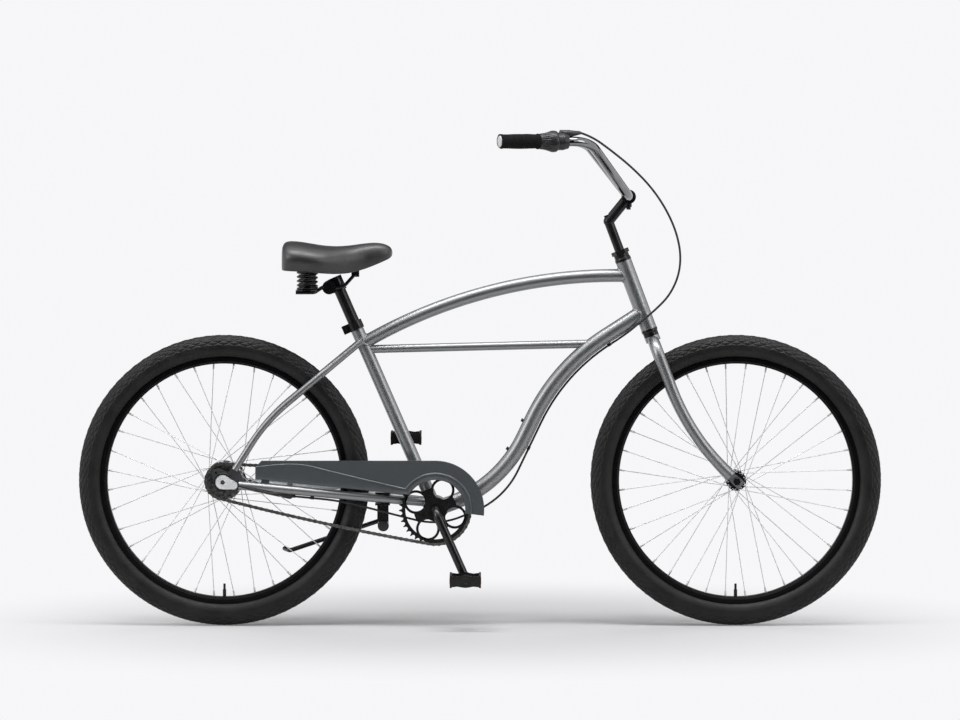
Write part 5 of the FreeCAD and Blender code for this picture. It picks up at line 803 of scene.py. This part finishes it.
def pedal(name, node, body, side):
    """The parts of one pedal, each in (along X, up, outwards), set on the middle of the CAD pedal."""
    parts = []
    cage = toothed_outline(CAGE_LENGTH, CAGE_CORE, CAGE_TIP, CAGE_TEETH)
    for x in (-CAGE_OUT, CAGE_OUT):
        points, faces = extruded(cage, x - CAGE_HALF, x + CAGE_HALF)
        parts.append((points[:, [2, 1, 0]], faces))
    for x in (-BAR_OUT, BAR_OUT):
        parts.append(extruded(np.array(BAR_SECTION) + (x, 0), *BAR_SPAN))
    for low, high in END_SPANS:
        parts.append(extruded(end_outline(CAGE_OUT, END_HEIGHT, END_DIP, END_SWELL), low, high))
    parts.append(lathe(BARREL))
    low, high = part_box(node)
    middle = centre(node)
    inner = low[1] if side > 0 else high[1]
    points = np.concatenate([part[0] for part in parts])[:, [0, 2, 1]] * (1, side, 1) * MM
    starts = np.cumsum([0] + [len(part[0]) for part in parts])
    faces = [tuple(i + start for i in face)
             for start, part in zip(starts.tolist(), parts) for face in part[1]]
    piece = mesh_piece(name, points + (middle[0], inner, middle[2]), faces, BLACK_PLASTIC, body)
    piece.data.set_sharp_from_angle(angle=math.radians(32))
    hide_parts(node)


pedal("right_cage_pedal", "right_pedal", "right_pedal_body", -1)
pedal("left_cage_pedal", "left_pedal", "left_pedal_body", 1)

LENS_WIDTH = 51.4 * MM
LENS_HEIGHT = 15.4 * MM
LENS_RISE = 0.9 * MM
LENS_ROUND = 1.2 * MM  # width of the rounded border
LENS_PLAIN = 0.8 * MM  # width of the border without pyramids
LENS_SUNK = 0.3 * MM
LENS_BACK = 0.8 * MM
PYRAMID = 0.22 * MM
PYRAMIDS = (19.5, 6)  # pyramids along and up the lens


def pedal_lens(name, node, body, facing):
    """A shallow dome over a rounded rectangle, pressed with rows of small pyramids."""
    middle = centre(node)
    u = np.linspace(-1, 1, 79)[:, None]
    v = np.linspace(-1, 1, 25)[None]
    pyramid = np.abs(((u + 1) * PYRAMIDS[0]) % 2 - 1) + np.abs(((v + 1) * PYRAMIDS[1]) % 2 - 1)
    edge = np.minimum(1 - np.abs(u), (1 - np.abs(v)) * LENS_HEIGHT / LENS_WIDTH) * LENS_WIDTH / 2
    dome = LENS_RISE * np.clip(edge / LENS_ROUND, 0, 1) ** 0.5
    rise = dome - PYRAMID * pyramid * (edge > LENS_PLAIN)
    face = middle[0] + facing * extent(node)[0] / 2
    points = np.stack([face - facing * LENS_SUNK + facing * rise, middle[1] + u * LENS_WIDTH / 2 + 0 * v,
                       middle[2] + v * LENS_HEIGHT / 2 + 0 * u], -1)
    back = points.copy()
    back[..., 0] = face - facing * LENS_BACK
    rows, columns = points.shape[:2]
    faces = grid_faces(rows, columns)
    rim = np.concatenate([np.arange(columns), np.arange(1, rows) * columns + columns - 1,
                          (rows - 1) * columns + np.arange(columns - 2, -1, -1),
                          np.arange(rows - 2, 0, -1) * columns])
    after = np.roll(rim, -1)
    total = rows * columns
    wall = np.stack([rim, after, after + total, rim + total], -1)
    piece = mesh_piece(name, np.concatenate([points.reshape(-1, 3), back.reshape(-1, 3)]),
                       np.concatenate([faces, faces[:, ::-1] + total, wall]), AMBER, body)


for side_name in ("right", "left"):
    for end_name, facing in (("front", 1), ("back", -1)):
        pedal_lens(f"{side_name}_pedal_{end_name}_lens", f"{side_name}_pedal", f"{side_name}_pedal_body",
                   facing)


# Studio: pale floor, soft boxes, dark cards that the bright metal mirrors, and the photograph's camera.
def camera():
    """A long lens at handlebar height, facing the bicycle's side and aimed a little down."""
    data = bpy.data.cameras.new("photo_camera")
    data.lens = 194.6
    data.sensor_width = 36
    data.clip_end = 200
    view = bpy.data.objects.new("photo_camera", data)
    away, height, aim = 12.0, 1.14, 0.6155
    view.location = (0, -away, height)
    view.rotation_euler = (math.pi / 2 - math.atan2(height - aim, away), 0, 0)
    bpy.context.collection.objects.link(view)
    bpy.context.scene.camera = view


def lamp(name, place_at, target, width, depth, power):
    """A rectangular soft box aimed at a point."""
    data = bpy.data.lights.new(name, "AREA")
    data.shape = "RECTANGLE"
    data.size = width
    data.size_y = depth
    data.energy = power
    box = bpy.data.objects.new(name, data)
    box.location = place_at
    aim = np.array(target, float) - np.array(place_at, float)
    tilt = math.atan2(math.hypot(aim[0], aim[1]), -aim[2])
    box.rotation_euler = (tilt, 0, math.atan2(aim[1], aim[0]) - math.pi / 2)
    bpy.context.collection.objects.link(box)
    return box


def seen_directly(material):
    """1 for rays that show the background: camera, glossy and transmission rays."""
    path = add_node(material, "LightPath")
    total = path.outputs["Is Camera Ray"]
    for name in ("Is Glossy Ray", "Is Transmission Ray"):
        either = add_node(material, "Math", operation="MAXIMUM")
        join(material, total, either.inputs[0])
        join(material, path.outputs[name], either.inputs[1])
        total = either.outputs[0]
    return total


BACKDROP = (0.925, 0.925, 0.94, 1)
# Near the bicycle the floor is darker than the backdrop: a painted pool of shade, which fades into the
# backdrop between the two reaches below.
NEAR_SHARE = 0.0  # how much of the floor's brightness is the backdrop's own, close to the bicycle
PAINTED_SHADE_REACH = 0.35  # metres out to which that share holds
PAINTED_SHADE_END = 1.5  # metres from which the floor is all backdrop
PAINTED_SHADE_STRETCH = (1.05, 1.15, 1)


def studio_world():
    """A pale backdrop for the camera, and an even low light for everything else."""
    world = bpy.data.worlds.new("studio")
    bpy.context.scene.world = world
    world.use_nodes = True
    ambient = world.node_tree.nodes["Background"]
    ambient.inputs["Color"].default_value = (1, 1, 1, 1)
    ambient.inputs["Strength"].default_value = 0.24
    pale = add_node(world, "Background", Color=BACKDROP, Strength=1.0)
    mix = add_node(world, "MixShader")
    join(world, seen_directly(world), mix.inputs["Fac"])
    join(world, ambient.outputs[0], mix.inputs[1])
    join(world, pale.outputs[0], mix.inputs[2])
    join(world, mix.outputs[0], world.node_tree.nodes["World Output"].inputs["Surface"])


def floor():
    """A wide pale floor: it holds the bicycle's soft shadow and a painted pool of shade near it, and runs
    into the backdrop further off.
    """
    pale = bpy.data.materials.new("studio_floor")
    pale.use_nodes = True
    shader = pale.node_tree.nodes["Principled BSDF"]
    # The floor's lit colour near the bicycle, darker than the backdrop's glow: painted shade.
    shader.inputs["Base Color"].default_value = (0.62, 0.62, 0.63, 1)
    shader.inputs["Roughness"].default_value = 1.0
    shader.inputs["Specular IOR Level"].default_value = 0.0
    glow = add_node(pale, "Emission", Color=BACKDROP, Strength=1.0)
    distance = add_node(pale, "VectorMath", operation="LENGTH")
    join(pale, place(pale, PAINTED_SHADE_STRETCH), distance.inputs[0])
    fade = add_node(pale, "MapRange", interpolation_type="SMOOTHSTEP")
    limits = {"From Min": PAINTED_SHADE_REACH, "From Max": PAINTED_SHADE_END, "To Min": NEAR_SHARE, "To Max": 1}
    for name, value in limits.items():
        fade.inputs[name].default_value = value
    join(pale, distance.outputs["Value"], fade.inputs["Value"])
    share = add_node(pale, "Math", operation="MULTIPLY")
    join(pale, fade.outputs["Result"], share.inputs[0])
    join(pale, seen_directly(pale), share.inputs[1])
    mix = add_node(pale, "MixShader")
    join(pale, share.outputs[0], mix.inputs["Fac"])
    join(pale, shader.outputs[0], mix.inputs[1])
    join(pale, glow.outputs[0], mix.inputs[2])
    join(pale, mix.outputs[0], pale.node_tree.nodes["Material Output"].inputs["Surface"])
    reach = 60.0
    corners = [(-reach, -reach, 0), (reach, -reach, 0), (reach, reach, 0), (-reach, reach, 0)]
    ground = mesh_piece("studio_ground", corners, [(0, 1, 2, 3)], pale)


def dark_card(name, middle, width, height, rise):
    """A dull black card out of view that puts a dark band into bright metal; rise is its upward edge."""
    dull = new_finish(name, Base_Color=(0.012, 0.012, 0.013, 1), Roughness=1.0, Specular_IOR_Level=0.0)
    across = np.array((width / 2, 0, 0))
    up = np.array(rise) * height / 2
    corners = [middle - across - up, middle + across - up, middle + across + up, middle - across + up]
    card = mesh_piece(name, corners, [(0, 1, 2, 3)], dull)
    card.visible_camera = False
    card.visible_diffuse = False
    card.visible_shadow = False


camera()
studio_world()
floor()
dark_card("front_card", (0, -9.0, 3.2), 16.0, 6.2, (0, 0, 1))
dark_card("over_card", (0, 9.0, 6.5), 24.0, 9.0, (0, 0, 1))
dark_card("floor_card", (0, -5.2, 0.003), 16.0, 7.6, (0, 1, 0))
lamp("top_box", (0, -0.9, 4.3), (0, 0, 0.5), 4.5, 1.2, 150)
lamp("left_box", (-5.6, -3.4, 2.8), (0, 0, 0.6), 2.0, 3.0, 95)
lamp("right_box", (5.6, -3.4, 2.8), (0, 0, 0.6), 2.0, 3.0, 55)
lamp("fill_box", (0, -7.0, 4.0), (0, 0, 0.6), 3.0, 2.0, 80).visible_glossy = False
lamp("rear_box", (0.6, 5.0, 3.4), (0, 0, 0.6), 4.0, 2.0, 60).visible_glossy = False
bpy.context.scene.view_settings.view_transform = "Standard"
